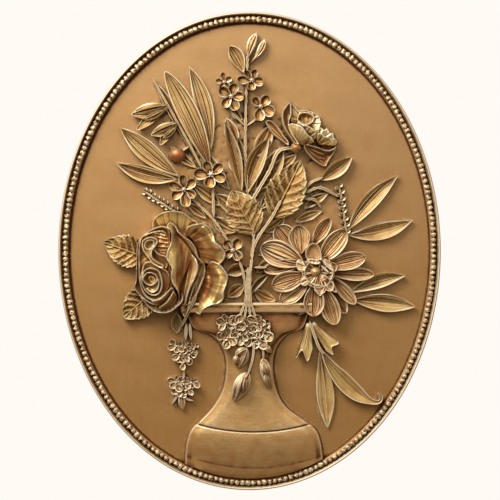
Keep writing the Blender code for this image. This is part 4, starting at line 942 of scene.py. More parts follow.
def sheet(outline, hollow=0.0, reach=2.0, lip=0.55, creases=0.0, fan_from=None, spread=40, pale=0.0):
    """One petal for layers(): a closed outline of (x, z, height, how strong the lip is), sunk in the
    middle by hollow, or swollen where that is negative, with fine creases that fan from a point, and
    rubbed pale by a share."""
    return dict(outline=outline, hollow=hollow, reach=reach, lip=lip, creases=creases, fan_from=fan_from,
                spread=spread, pale=pale)


def ridge(points, rise, width=0.5):
    """A thin raised line for layers(), or a cut one where rise is negative."""
    return dict(line=points, rise=rise, width=width)


def nearest(x, z, line, closed):
    """How far each spot lies from a polyline."""
    after = np.roll(line, -1, axis=0) if closed else line[1:]
    start = line if closed else line[:-1]
    best = np.full(x.shape, 1e9)
    for (ax, az), (bx, bz) in zip(start[:, :2], after[:, :2]):
        dx, dz = bx - ax, bz - az
        t = np.clip(((x - ax) * dx + (z - az) * dz) / max(dx * dx + dz * dz, 1e-12), 0, 1)
        best = np.minimum(best, (x - ax - t * dx) ** 2 + (z - az - t * dz) ** 2)
    return np.sqrt(best)


def layers(sheets, scale, cell=0.28):
    """Petals laid over each other from back to front in one sheet of relief, its heights in shares of
    scale."""
    outlines = [ring_through(s["outline"], 14 * len(s["outline"])) for s in sheets if "outline" in s]
    spots = np.vstack(outlines)
    low, high = spots[:, :2].min(axis=0) - 3 * cell, spots[:, :2].max(axis=0) + 3 * cell
    x, z = np.meshgrid(np.arange(low[0], high[0] + cell, cell), np.arange(low[1], high[1] + cell, cell),
                       indexing="ij")
    height = np.full(x.shape, BURIED)
    crest, covered = np.zeros(x.shape), np.zeros(x.shape)
    number = 0
    for petal in sheets:
        if "line" in petal:
            line = spline(petal["line"], 8 * len(petal["line"]))
            near = np.exp(-((nearest(x, z, line, False) / petal["width"]) ** 2)) * (covered > 0.99)
            height = height + petal["rise"] * near
            sharp = near * (petal["width"] < 0.8)
            pull = sharp * (petal["rise"] > 0) - 0.5 * near * (petal["rise"] < 0)
            crest = crest + pull * (1 - np.abs(crest))
            continue
        loop = outlines[number]
        number += 1
        box = (x > loop[:, 0].min() - 2 * cell) & (x < loop[:, 0].max() + 2 * cell)
        box &= (z > loop[:, 1].min() - 2 * cell) & (z < loop[:, 1].max() + 2 * cell)
        px, pz = x[box], z[box]
        inside = np.zeros(px.shape, bool)
        for (ax, az), (bx, bz) in zip(loop[:, :2], np.roll(loop, -1, axis=0)[:, :2]):
            crosses = (az > pz) != (bz > pz)
            inside ^= crosses & (px < (bx - ax) * (pz - az) / (bz - az if bz != az else 1e-12) + ax)
        away = nearest(px, pz, loop, True)
        depth = np.where(inside, away, 0)
        weight = 1 / (((px[:, None] - loop[:, 0]) ** 2 + (pz[:, None] - loop[:, 1]) ** 2) ** 1.4 + 1e-4)
        weight /= weight.sum(axis=1)[:, None]
        rim = weight @ loop[:, 2] * scale
        strong = np.clip(weight @ loop[:, 3], 0, 1)
        level = rim - petal["hollow"] * (1 - np.exp(-((depth / petal["reach"]) ** 1.5)))
        thick = 0.66 + 0.22 * np.sin(0.9 * px + 1.3 * number) * np.sin(0.8 * pz - number)
        edge = strong * np.exp(-(((depth - 0.5) / thick) ** 2))
        level = level + petal["lip"] * edge
        lines = 0.0
        if petal["creases"]:
            angle = np.arctan2(pz - petal["fan_from"][1], px - petal["fan_from"][0]) * petal["spread"]
            lines = ((np.sin(angle) + 0.6 * np.sin(1.7 * angle + 1) + 0.4 * np.sin(2.9 * angle + 2))
                     * np.clip(depth / 1.5, 0, 1))
            level = level + petal["creases"] * lines
        share = np.clip(np.where(inside, away, -away) / cell + 0.5, 0, 1)
        height[box] = height[box] * (1 - share) + level * share
        red_root = (1 - strong) * (petal["hollow"] > -2)
        body = petal["pale"] * np.clip(depth / 1.2, 0, 1) * (0.6 + 0.4 * strong)
        tone = np.clip(edge + body + 0.3 * np.clip(lines, -1, 1) * (petal["creases"] > 0)
                       - 0.8 * red_root * (1 - body), -1, 1)
        crest[box] = crest[box] * (1 - share) + tone * share
        covered[box] = np.maximum(covered[box], share)
    soft = height.copy()
    soft[1:-1, 1:-1] = ((4 * height[1:-1, 1:-1] + height[:-2, 1:-1] + height[2:, 1:-1] + height[1:-1, :-2]
                         + height[1:-1, 2:]) / 8)
    height = np.where(covered > 0, soft, BURIED)
    near = covered > 0
    for _ in range(2):
        wider = near.copy()
        wider[1:] |= near[:-1]
        wider[:-1] |= near[1:]
        wider[:, 1:] |= near[:, :-1]
        wider[:, :-1] |= near[:, 1:]
        near = wider
    k = np.arange(x.size).reshape(x.shape)
    kept = near[:-1, :-1] & near[1:, :-1] & near[1:, 1:] & near[:-1, 1:]
    quads = np.stack([k[:-1, :-1], k[1:, :-1], k[1:, 1:], k[:-1, 1:]], -1)[kept]
    used = np.unique(quads)
    fresh = np.full(x.size, -1)
    fresh[used] = np.arange(len(used))
    points = np.column_stack([x.ravel(), z.ravel(), height.ravel(), crest.ravel()])[used]
    return points, fresh[quads].tolist()


def lump(x, z, wide, tall, height, turn=0, strength=1):
    """A small oval outline for sheet()."""
    turns = np.linspace(0, 2 * np.pi, 8, endpoint=False)
    c, s = math.cos(math.radians(turn)), math.sin(math.radians(turn))
    u, v = wide / 2 * np.cos(turns), tall / 2 * np.sin(turns)
    return [(x + c * a - s * b, z + s * a + c * b, height, strength) for a, b in zip(u, v)]


dahlia_eye = [
    sheet(lump(42.9, -13.6, 21, 20, 0.84, strength=0.4), hollow=0.4, creases=0.25, fan_from=(43, -13.6),
          spread=14),
    sheet([(35.6, -5, .84, 1), (34.8, -0.6, .86, 1), (36.8, 3.6, .88, 1), (39.9, 5.1, .9, 1),
           (43.1, 3.6, .9, 1), (44.9, -0.6, .88, 1), (44.6, -5.6, .86, 1), (40, -7.6, .84, .4)], hollow=3.0,
          reach=1.5, lip=0.6),
    sheet(lump(31.9, -9.2, 5.8, 8.6, 0.86, 15), hollow=-0.5, creases=0.3, fan_from=(46, -14), spread=26,
          lip=0.4),
    sheet(lump(34.6, -19, 5.6, 6.8, 0.86, -35), hollow=-0.4, creases=0.3, fan_from=(44, -14), spread=24,
          lip=0.4),
    sheet([(40.2, -21.6, .86, 1), (43.2, -22.4, .84, 1), (46.8, -21.6, .86, 1), (46.6, -25, .84, 1),
           (43.9, -28.4, .82, 1), (41.2, -25.4, .84, 1)], hollow=0.8, reach=1.0, lip=0.5),
    sheet([(48.6, -20.2, .84, 1), (51.6, -19, .84, 1), (54, -22.4, .8, 1), (54.6, -26.2, .76, 1),
           (50.8, -25, .8, 1), (48.2, -23.4, .84, 1)], hollow=0.9, reach=1.0, lip=0.5),
    sheet(lump(43.2, -13.5, 18.4, 17, 0.90), hollow=4.6, reach=1.6, lip=0.5, creases=0.12,
          fan_from=(43.2, -13.5), spread=11),
    sheet(lump(40, -6.6, 8.6, 3.6, 0.9, -12), hollow=0.4, creases=0.2, fan_from=(40, -14), spread=20,
          lip=0.4),
    sheet(lump(49.2, -9.6, 9.4, 2.2, 0.88, -42), hollow=0.3, reach=0.8, lip=0.5),
    sheet(lump(47.2, -11.4, 7, 1.8, 0.84, -42), hollow=0.2, reach=0.8, lip=0.5),
    sheet(lump(41.2, -12.9, 8.2, 7.8, 0.66, strength=0), hollow=-4.4, reach=2.3, lip=0),
    sheet(lump(46.2, -18, 7.8, 7, 0.62, 20, strength=0), hollow=-3.6, reach=2.2, lip=0),
    ridge([(43.4, -15.8), (45.6, -15.4), (48.4, -14.6)], 0.8, 0.5),
    ridge([(44.2, -18.6), (47, -16.6)], -0.6, 0.4),
]
cast("dahlia_eye", [layers(dahlia_eye, DAHLIA_RELIEF, cell=0.24)], dahlia_finish)


# The half-open flower: seen from the side at the upper right, a swollen front petal, a hollow cup with a
# ruffled edge behind it, and long sepals that spring from the calyx.

BOWL_FLOWER_RELIEF = 14.0
bowl_finish = gilding("gilded_bowl_flower", (0.60, 0.40, 0.15, 1), (0.48, 0.34, 0.11, 1), blush=0.6,
                      rub=1.0, wash=0.72, gloss=0.4)
calyx = (29, 66)
bowl_flower = [
    # the pale back petal, the cup's striped edge, its hollow and its front edge
    sheet([(25.8, 92, .62, 1), (28.6, 90.6, .62, 1), (31, 88.2, .6, 1), (35.5, 88.2, .6, 1),
           (40.5, 86.7, .62, 1), (43.8, 84, .66, 1), (44.8, 79.6, .68, .8), (42.3, 75, .7, .3),
           (36, 74, .6, 0), (29, 76, .5, 0), (25.5, 82, .52, .3)], hollow=0.8, creases=0.14,
          fan_from=(35, 80), spread=16, lip=0.4, pale=0.5),
    sheet([(31.4, 86, .66, 1), (35.5, 86.7, .66, .8), (39.6, 85.2, .68, 1), (40.7, 82.8, .72, 1),
           (38.3, 79.4, .78, 1), (34.5, 78.5, .8, 1), (31, 80.3, .76, 1), (29.6, 82.3, .7, 1)], hollow=4.2,
          reach=1.5, creases=0.1, fan_from=(35, 70), spread=30, pale=-0.3),
    sheet([(30.2, 80.9, .76, .6), (33.5, 78.9, .8, 1), (36.9, 78.2, .82, 1), (40.1, 75.9, .82, 1),
           (42.8, 73.8, .8, 1), (42, 70.5, .7, 0), (38, 69, .66, 0), (33, 73, .7, 0), (30, 77, .72, 0)],
          hollow=0.7, creases=0.2, fan_from=(30, 66), spread=26, pale=0.4),
    # the ruffle at the right
    sheet([(42.5, 75.6, .66, 1), (44.8, 77.4, .66, 1), (46.6, 75.8, .7, 1), (48.6, 77, .66, 1),
           (50.4, 74, .7, 1), (52.6, 73.8, .66, 1), (53, 70.8, .68, 1), (54.9, 69, .64, 1),
           (54, 66, .55, .4), (49.5, 66, .5, 0), (44.5, 67, .52, 0), (41.8, 69.5, .6, 0)], hollow=-0.6,
          reach=3, creases=0.32, fan_from=(40, 66), spread=15, lip=0.45, pale=0.45),
    sheet([(42, 72.6, .72, 1), (44.8, 73.6, .74, 1), (47.4, 71.6, .7, 1), (50.6, 71, .66, 1),
           (52.4, 68.4, .6, 1), (49, 66.4, .5, 0), (43, 67, .5, 0)], hollow=0.8, creases=0.2,
          fan_from=(40, 64), spread=18, lip=0.4, pale=0.3),
    # the boat-shaped sepal below
    sheet([(34.4, 66.8, .7, 1), (37.5, 66.5, .76, 1), (43.2, 64.9, .76, 1), (46.4, 63.6, .72, 1),
           (49.8, 63.1, .68, 1), (52.8, 64.4, .64, 1), (54.4, 66, .6, 1), (54, 63, .5, .8),
           (51.8, 59.6, .5, .8), (49.4, 56, .48, .8), (47.6, 52.8, .46, .8), (43.2, 54.5, .5, 1),
           (39.3, 57.4, .56, 1), (36.1, 60.9, .62, 1), (34, 64.3, .68, 1)], hollow=2.6, reach=1.6,
          creases=0.12, fan_from=(33, 66), spread=26, pale=-0.8),
    ridge([(36, 64.6), (39, 61.4), (43, 58.5), (47, 57.5)], 0.6),
    ridge([(39, 63.5), (44, 61), (49, 60.8)], 0.5),
    # the swollen front petal
    sheet([(25.4, 79.6, .8, .8), (29, 79.2, .9, 1), (32.3, 77.9, .98, 1), (34.4, 75.7, .98, 1),
           (36.4, 72.8, .94, 1), (39.4, 70.4, .88, 1), (40.2, 68, .78, .5), (36.5, 66.3, .7, 0),
           (31, 66.4, .7, 0), (27, 70.9, .74, 0), (24.6, 76.5, .76, .3)], hollow=-0.9, reach=2.6,
          creases=0.05, fan_from=calyx, spread=22, pale=0.35),
    ridge([(35.6, 67.5), (37.6, 70), (37.4, 72.6)], -0.7, 0.9),
    # the left sepal, the tall one, and the calyx
    sheet([(10, 80.6, .52, 1), (12.4, 82, .5, .7), (15.6, 80.4, .5, .7), (18.6, 77, .52, .8),
           (21.7, 72.3, .58, .8), (24.6, 68.4, .64, .6), (24, 66, .62, 1), (19.7, 69, .64, 1),
           (15.9, 71.9, .62, 1), (12.7, 75.5, .6, 1)], hollow=1.8, reach=1.3, creases=0.12,
          fan_from=(25, 66), spread=30, pale=-0.5),
    ridge([(18.8, 76.4), (21.6, 71.5), (24.4, 67.8)], 0.5),
    sheet([(25.4, 93, .74, 1), (21.7, 89.3, .84, 1), (20.1, 85, .88, 1), (20.5, 80.2, .9, 1),
           (22.1, 75.7, .9, 1), (25, 71.3, .9, 1), (28.2, 66.9, .86, 1), (31, 66.6, .8, .7),
           (27.6, 71.9, .78, .8), (25.2, 76.6, .76, .8), (25, 81, .74, .8), (26.2, 86, .72, .8)],
          hollow=2.2, reach=1.2, creases=0.08, fan_from=(28, 60), spread=34, lip=0.8, pale=-0.6),
]
cast("bowl_flower", [layers(bowl_flower, BOWL_FLOWER_RELIEF)], bowl_finish)
cast("bowl_calyx", [dome((29.0, 64.6), 7.0, 6.4, 20, BOWL_FLOWER_RELIEF * 0.86, edge=0.7, sides=32,
                         grooves=5, depth=0.12, pale=-0.9)], bowl_finish)


# The rose: the highest part of the relief, at the left. Two wide outer petals roll open to the right,
# folded petals stand between, and the heart at the left curls into two whorls. It is rubbed till it shines.

ROSE_RELIEF = 22.4
rose_finish = gilding("gilded_rose", (0.74, 0.495, 0.175, 1), (0.46, 0.33, 0.10, 1), blush=0.62, rub=1.0,
                      wash=0.64, gloss=0.8)
rose = [
    # the flat petal at the back
    sheet([(-61, 15, .42, .6), (-59.4, 20.5, .46, 1), (-54.3, 24.2, .48, 1), (-47.3, 25.2, .48, 1),
           (-41.3, 24, .46, 1), (-36.3, 20.4, .44, 1), (-32, 17.4, .42, .6), (-34, 10, .34, 0),
           (-48, 8, .34, 0), (-58, 9, .36, 0)], hollow=1.4, reach=2.4, creases=0.08, fan_from=(-46, -10)),
    # the two wide petals at the right
    sheet([(-38.6, 15, .5, 1), (-33.3, 17, .6, 1), (-28.6, 17.1, .64, 1), (-24.4, 14.4, .62, 1),
           (-22, 9.7, .56, 1), (-21.2, 6.2, .62, 1), (-17.4, 2.6, .66, 1), (-15, -1, .62, 1),
           (-15.6, -5.2, .56, 1), (-19, -8.4, .46, .8), (-24.5, -8.4, .3, 0), (-29.5, -7, .24, 0),
           (-32.5, 0, .24, 0), (-35.5, 6.3, .34, 0), (-39.5, 11, .42, 0)], hollow=0.6, reach=4,
          creases=0.07, fan_from=(-46, 2), spread=24, lip=0.7),
    ridge([(-33.5, 12), (-28.5, 8), (-24, 1.5)], -0.9, 2.0),
    ridge([(-29, 14), (-25, 9), (-20.5, 1)], 1.2, 1.7),
    sheet([(-23, -6.4, .46, .8), (-17.6, -9, .6, 1), (-13.5, -14.8, .66, 1), (-13.7, -19.4, .6, 1),
           (-15.7, -25.3, .64, 1), (-16.2, -30.2, .6, 1), (-19.8, -33.3, .54, 1), (-24.6, -34.3, .6, 1),
           (-28.5, -36.7, .56, 1), (-31.5, -40, .46, 1), (-35.6, -36, .3, 0), (-33.8, -28, .24, 0),
           (-30.6, -20, .22, 0), (-27.8, -13, .24, 0), (-26, -8.5, .3, 0)], hollow=0.4, reach=4,
          creases=0.07, fan_from=(-44, -14), spread=24, lip=0.7),
    ridge([(-22, -11), (-18.5, -17), (-20, -24), (-22.5, -31)], 1.2, 1.8),
    ridge([(-25.5, -12), (-24, -20), (-27.5, -29)], -0.8, 1.6),
    # the deep valley, and the narrow petals that stand in it
    sheet([(-36, -1, .42, .4), (-31.9, -3.8, .44, .8), (-28.8, -6.8, .42, .8), (-27.4, -12, .36, .7),
           (-29, -19, .38, .7), (-32.6, -27.4, .42, .8), (-36.6, -35, .46, .8), (-40.5, -41.5, .42, .6),
           (-43.5, -34, .4, 0), (-40, -20, .34, 0)], hollow=1.0, reach=1.2, creases=0.3,
          fan_from=(-42, -52), spread=52),
    ridge([(-31.2, -8), (-32.2, -16), (-35.6, -25), (-38.6, -33)], 0.8, 0.5),
    ridge([(-29.6, -17), (-33, -25.5), (-37.4, -33)], 0.7, 0.45),
    sheet([(-49.6, 18, .6, .6), (-45.8, 15.4, .68, 1), (-43.7, 11.8, .72, 1), (-40.3, 9, .72, 1),
           (-36.5, 6.1, .7, 1), (-33.6, 2.2, .66, 1), (-31.7, -3.8, .58, 1), (-29.6, -7.6, .48, .8),
           (-34, -8, .4, 0), (-38.5, -3, .44, 0), (-42.5, 5, .48, 0), (-47, 12.6, .5, 0)], hollow=0.7,
          reach=1.6, creases=0.12, fan_from=(-56, 30), spread=70, lip=0.6),
    sheet([(-37, -1.6, .56, .5), (-34.6, -3.4, .66, 1), (-32.6, -6, .74, 1), (-31.8, -11, .76, 1),
           (-33.6, -16.8, .74, 1), (-36.4, -22.3, .7, 1), (-38.4, -28, .64, 1), (-40.2, -33.6, .54, .8),
           (-43.6, -32, .46, 0), (-44.2, -24, .5, 0), (-41.8, -16, .52, 0), (-39, -9, .54, 0)], hollow=0.5,
          reach=2.0, creases=0.26, fan_from=(-45, -50), spread=64),
    # the cup below, and the petal that goes round the heart
    sheet([(-67.8, -28, .66, 1), (-65.2, -32.6, .66, 1), (-62.4, -35.8, .66, 1), (-59, -38.1, .68, 1),
           (-54.5, -39, .72, 1), (-50, -38.4, .74, 1), (-46, -35.9, .74, 1), (-41.4, -30.8, .68, 1),
           (-43, -25, .5, 0), (-50, -22, .5, 0), (-60, -22, .5, 0)], hollow=3.0, reach=1.8, lip=0.8,
          creases=0.1, fan_from=(-54, -20)),
    sheet([(-49.5, 12.4, .84, .5), (-53, 15.4, .8, 1), (-57.8, 14.9, .76, 1), (-63.3, 12, .74, 1),
           (-68.3, 7.5, .72, 1), (-70.3, 2, .72, 1), (-70.5, -3.8, .72, 1), (-70.8, -12, .72, 1),
           (-71, -18.2, .7, 1), (-72, -22.4, .68, 1), (-70.2, -26.2, .68, 1), (-66.5, -29.8, .68, 1),
           (-60, -33.4, .7, .8), (-52, -33, .74, .5), (-46.5, -27, .76, 0), (-47.5, -18, .8, 0),
           (-49.5, -6, .8, 0), (-49, 4, .84, 0)], hollow=3.4, reach=1.5, lip=0.8),
    sheet([(-67.4, 8.2, .76, .8), (-63, 11, .78, 1), (-57.4, 12.6, .8, 1), (-52.8, 12.2, .82, .6),
           (-50.4, 8, .8, 0), (-50, -2, .8, 0), (-49, -12, .8, 0), (-48, -20, .8, 0), (-51, -28, .78, .4),
           (-58, -31.6, .76, .8), (-65, -28.4, .74, .8), (-68.4, -20, .76, .6), (-69, -10, .78, .5),
           (-68.9, 1, .78, .6)], hollow=2.4, reach=1.4, lip=0.4, creases=0.08, fan_from=(-58, 0),
          spread=12),
    # pleats beside the upper whorl
    ridge([(-58.4, 11), (-55.6, 10.4), (-52.6, 9.4)], 0.9),
    ridge([(-56.6, 8.6), (-54, 8), (-51.4, 7.2)], 0.9),
    ridge([(-56, 5.6), (-53.6, 5.2), (-51.2, 4.9)], 0.9),
    ridge([(-56.8, 3), (-54, 2.6), (-51.2, 2.4)], 0.9),
    # the small folded petal between the whorls, and the outer petals of the lower one
    sheet([(-59.6, 1.6, .84, .6), (-57.4, -0.6, .88, 1), (-55, -2.2, .88, 1), (-51.6, -3.4, .86, 1),
           (-50.4, -7, .8, 0), (-52, -11, .8, 0), (-57, -8, .78, 0), (-60.6, -3, .78, 0)], hollow=1.4,
          reach=1.2, lip=0.7),
    sheet([(-67, -12.6, .8, 1), (-65.7, -8.1, .86, 1), (-62.7, -6.4, .88, 1), (-59.3, -7.2, .88, 1),
           (-55.9, -9.3, .88, 1), (-51, -12.6, .86, 1), (-49.4, -17, .82, .3), (-50.4, -23, .8, .2),
           (-54, -28.4, .8, .8), (-59.6, -30.9, .8, 1), (-65, -27.6, .78, 1), (-68.2, -20, .78, .8)],
          hollow=2.4, reach=1.2, lip=0.7),
    sheet([(-48, -22.6, .86, .8), (-52.1, -26.2, .9, 1), (-55, -29, .9, 1), (-58.6, -30.4, .88, 1),
           (-61, -31.6, .8, .4), (-56, -34, .7, 0), (-50, -32, .72, 0), (-46.6, -27, .76, 0)], hollow=0.9,
          reach=1.1, lip=0.8),
    sheet([(-47, -25, .84, .8), (-49.6, -28.6, .86, 1), (-52.6, -32.4, .86, 1), (-56.4, -35.2, .8, 1),
           (-53, -36.4, .66, 0), (-48, -34, .68, 0), (-45, -29, .72, 0)], hollow=0.7, reach=1.1, lip=0.7),
    sheet([(-66.7, -15, .88, 1), (-65.3, -12, .92, 1), (-62.2, -10.3, .94, 1), (-58.8, -10.8, .94, 1),
           (-55.7, -12.7, .94, 1), (-54.2, -16.8, .93, 1), (-53.8, -21.6, .92, 1), (-55.6, -26.2, .88, 1),
           (-59.7, -27.9, .86, .8), (-64.2, -25.7, .86, .8), (-67, -20.5, .86, .8)], hollow=2.4, reach=1.1,
          lip=0.7),
    sheet([(-59, -21, .84, .4), (-56.6, -17.4, .92, 1), (-55.8, -20, .92, 1), (-57, -24.4, .9, 1),
           (-60.6, -26, .86, .8), (-64, -23.6, .84, .8), (-62, -22, .82, .2)], hollow=0.7, reach=0.9,
          lip=0.5),
    sheet([(-66.2, -16.2, .95, 1), (-63.8, -13.4, .97, 1), (-60.7, -13.2, .98, 1), (-57.6, -15, .98, 1),
           (-56.8, -18, .97, 1), (-58.5, -20.4, .95, 1), (-61.2, -21.8, .93, 1), (-64.3, -20.7, .93, 1),
           (-66.2, -18.3, .94, 1)], hollow=4.6, reach=1.2, lip=0.7),
    sheet([(-62.5, -15.6, .86, .7), (-59.6, -15.6, .88, .8), (-58.3, -18, .86, .8), (-60.3, -19.8, .8, .6),
           (-62.6, -18.4, .8, .3)], hollow=0.8, reach=0.8, lip=0.4),
    # the upper whorl, whose edge runs on between the petals as an S
    sheet([(-66.8, 2, .88, 1), (-66.7, 5.9, .9, 1), (-64.7, 7.9, .92, 1), (-61.2, 8.9, .92, 1),
           (-58.1, 7.9, .93, 1), (-56.7, 5.8, .93, 1), (-58.1, 2.9, .92, 1), (-60, 0.5, .92, 1),
           (-60.5, -1.9, .92, 1), (-59.6, -4.4, .92, 1), (-57, -6.5, .92, 1), (-53, -9, .9, 1),
           (-54.6, -10.4, .86, .6), (-59.6, -8.4, .84, .8), (-62.9, -4.6, .84, .8), (-65.7, -0.9, .86, 1)],
          hollow=1.9, reach=0.9, lip=0.7),
    sheet([(-65.4, 3, .84, 1), (-64.8, 5.8, .86, 1), (-61.7, 7.2, .88, 1), (-59, 6, .88, 1),
           (-59.9, 2.7, .86, 1), (-62, 0.8, .84, 1), (-64.3, 1, .84, 1)], hollow=3.4, reach=1.1, lip=0.5),
    # the great middle petal, swollen and smooth
    sheet([(-49.2, 18, .62, .7), (-51.6, 15, .86, 1), (-49.5, 12.6, .92, 1), (-48.5, 8.7, .94, 1),
           (-49.5, 3.4, .96, 1), (-51.1, 0.1, .97, 1), (-51.6, -4.3, .97, 1), (-50.1, -7.6, .96, 1),
           (-48.6, -11, .95, 1), (-48.8, -16.3, .94, 1), (-48.1, -19.7, .92, 1), (-46.2, -23.1, .88, 1),
           (-44.4, -26.4, .82, 1), (-43.7, -33, .66, .8), (-43.4, -24, .66, 0), (-41.2, -16.8, .66, 0),
           (-38.2, -9.6, .64, 0), (-35.8, -3, .6, 0), (-37.4, 1.3, .62, 0), (-41.3, 6.5, .64, 0),
           (-44.2, 9, .64, 0), (-46.2, 13.4, .62, .2)], hollow=-0.5, reach=3.0, lip=0.85, creases=0.06,
          fan_from=(-46, -44), spread=40, pale=0.15),
    ridge([(-47, 9), (-46, 4), (-46.2, 0)], -1.1, 1.6),
    ridge([(-46.8, -2), (-46, -9), (-45.6, -15)], 0.9, 2.2),
    ridge([(-42, 3), (-41.4, -5), (-43.4, -15)], -0.5, 1.6),
]
cast("rose", [layers(rose, ROSE_RELIEF, cell=0.27)], rose_finish)
cast("rose_stalks", [
    stem([(-33, -27.5), (-36, -34), (-39.5, -41), (-42.5, -47.5)], (ROSE_RELIEF * 0.5, 7.0), 1.9),
    stem([(-35.5, -28), (-38.5, -36), (-40.3, -42)], (ROSE_RELIEF * 0.42, 6.0), 1.7),
], stem_finish)


# Trailing sprays: tiny curled florets in clusters that hang from the rose and over the vase, with buds and
# narrow sepals at their ends, cast with the plate.

SPRAY_RELIEF = 6.0


def cluster(places, size, relief, seed):
    """Tiny curled florets packed together, each turned and tipped its own way."""
    chance = np.random.default_rng(seed)
    shapes = []
    for x, z in places:
        first, petals = chance.uniform(0, 360), int(chance.integers(4, 6))
        for k in range(petals):
            turn = math.radians(first + 360 * k / petals + chance.uniform(-14, 14))
            ahead = np.array([math.cos(turn), math.sin(turn)])
            long = size * chance.uniform(0.75, 1.2)
            high = relief * chance.uniform(0.80, 1.04)
            shapes.append(blade(np.array([x, z]) + ahead * 0.2, np.array([x, z]) + ahead * long,
                                long * chance.uniform(0.6, 0.95), high, belly=0.62, blunt=0.5,
                                bow=chance.uniform(-1.1, 1.1), fold=0.0, cup=1.0, slope=(0.8, 0.92, 1.0),
                                lip=0.7, rib=0.3, lines=0, fibres=0.1, along=16, across=15,
                                seed=chance.uniform(0, 6), undercut=0.6))
        shapes.append(dome((x, z), 1.5, 1.5, 0, relief * 1.02, edge=0.85, sides=10, rings=5))
    return shapes


spray_finish = gilding("gilded_sprays", (0.62, 0.42, 0.21, 1), (0.55, 0.36, 0.15, 1), blush=0.4, rub=1.0,
                       wash=0.75)
low, high = SPRAY_RELIEF, CLUSTER_RELIEF
upper_left = [(-45.6, -59.6), (-40.2, -60.6), (-35, -61.6), (-43.4, -64.8), (-37.6, -65), (-41, -69.6)]
lower_left = [(-45.8, -82.4), (-41, -83.6), (-36.4, -82.6), (-43.4, -86.6), (-38.6, -86.8)]
middle_top = [(-14, -45), (-8.4, -46), (-13.6, -54), (-5.6, -52.6), (-1.4, -47), (1.4, -54.6), (5, -45.4),
              (9.6, -49.8), (6.6, -55)]
sprays = (
    cluster(upper_left, 5.0, low * 1.05, 11) + cluster(lower_left, 5.0, low, 12)
    + cluster(middle_top, 6.2, high, 13)
    + floret((-11.2, -49), [(130, 8.5), (60, 7.5), (-10, 6), (-75, 7.5), (-135, 8)], high * 0.9, 6, knob=0,
             seed=6)
    + floret((6, -49.5), [(105, 8), (45, 8), (-15, 7), (-75, 7.5), (-150, 6.5)], high * 0.88, 6, knob=0,
             seed=7)
)
sprays += [
    stem([(-39.5, -45), (-40, -56)], (low, low * 0.8), 2.4),
    stem([(-37.5, -45), (-36.5, -56)], (low, low * 0.8), 2.0),
    stem([(-41, -70), (-41.3, -86)], (low * 0.5, low * 0.5), 1.6),
    stem([(-43, -87.5), (-48.5, -96)], (low * 0.8, low * 0.5), 1.6),
    stem([(-43, -88), (-39.5, -92.5), (-35, -94)], (low * 0.8, low * 0.6), 1.6),
    blade((-43, -88.5), (-41.8, -100), 4.4, low * 0.6, fold=-0.2, lines=1),
    blade((9, -58), (14, -64), 3.6, high * 0.85, fold=-0.1, lines=0),
    blade((-1.5, -60), (-7, -73), 5.4, high * 0.9, bow=1, fold=-0.3, slope=(0.9, 1, 0.75), lines=1,
          line=0.3, cup=-0.6),
    blade((-1, -61), (-9, -66.5), 5, high * 0.95, bow=-1, fold=-0.3, lines=1, line=0.2),
    blade((-6.5, -64), (-9.5, -71), 4.5, high * 0.9, fold=-0.3, lines=1),
    stem([(3, -57), (2, -67), (-1.2, -78)], (high * 0.9, high * 0.85), 1.7),
    blade((-0.5, -76), (-9.5, -94), 10, high * 0.9, bow=-0.5, belly=0.42, blunt=0.7, fold=-0.2,
          slope=(0.85, 1, 0.7), lines=1, line=0.2, cup=-0.8),
    blade((-4.5, -77.5), (-10.6, -93), 4.2, high * 1.0, bow=0.6, belly=0.5, blunt=0.7, fold=0.4, lines=1,
          line=0.3),
    blade((-2, -77), (-3.6, -90), 5, high * 0.98, bow=-0.8, belly=0.45, fold=-0.4, lines=0, fibres=0.1),
    blade((-3, -76.5), (-8.5, -91), 3.6, high * 1.04, belly=0.5, fold=-0.2, lines=1, line=0.2),
    stem([(7, -58), (8.6, -63), (8.6, -70)], (high * 0.9, high * 0.8), 1.5),
    blade((8.3, -67), (13, -86.5), 7, high * 0.85, belly=0.4, blunt=0.75, fold=-0.1, slope=(0.85, 1, 0.7),
          lines=2, line=0.2, cup=-0.6),
    blade((8.2, -68.5), (11, -79), 5.4, high * 0.95, belly=0.5, fold=-0.4, lines=1, line=0.3),
    blade((9.4, -75), (12.4, -85), 4.4, high * 0.9, fold=-0.4),
]
cast("trailing_sprays", sprays, spray_finish)


# The drooping spray: at the lower right, two small bells with lobed mouths on a stalk, and a long blade
# whose tip curls over.

bells = [
    fan([(35.6, -45.5), (37, -45.2), (38.4, -45.5)],
        [(31, -60), (29, -67), (33, -62.5), (36.3, -69), (39.4, -61.5)],
        POD_RELIEF * 0.6, POD_RELIEF, swell=0.7, creases=0.15, columns=56),
    fan([(38.2, -46.5), (39.4, -45.2), (40.4, -44.2)],
        [(48, -62.5), (52.4, -65), (51.6, -60.4), (56, -57.5), (49, -51)],
        POD_RELIEF * 0.6, POD_RELIEF, swell=0.7, creases=0.15, columns=56),
    stem([(37.5, -43.5), (43, -59), (46.5, -64.5)], (POD_RELIEF, BLADE_RELIEF * 1.4), 2.2),
]
curled = spline([(44.5, -61, 0.5), (51, -72, 6.4), (58.5, -81, 10.4), (67, -89, 9.6), (75.5, -94, 4.4),
                 (81, -94.6, 2.4), (82.6, -91.5, 2.0), (80.5, -89.2, 0.8)], 70)
ahead = np.gradient(curled[:, :2], axis=0)
square = np.column_stack([-ahead[:, 1], ahead[:, 0]]) / np.linalg.norm(ahead, axis=1)[:, None]
v = steps(29)
loops = []
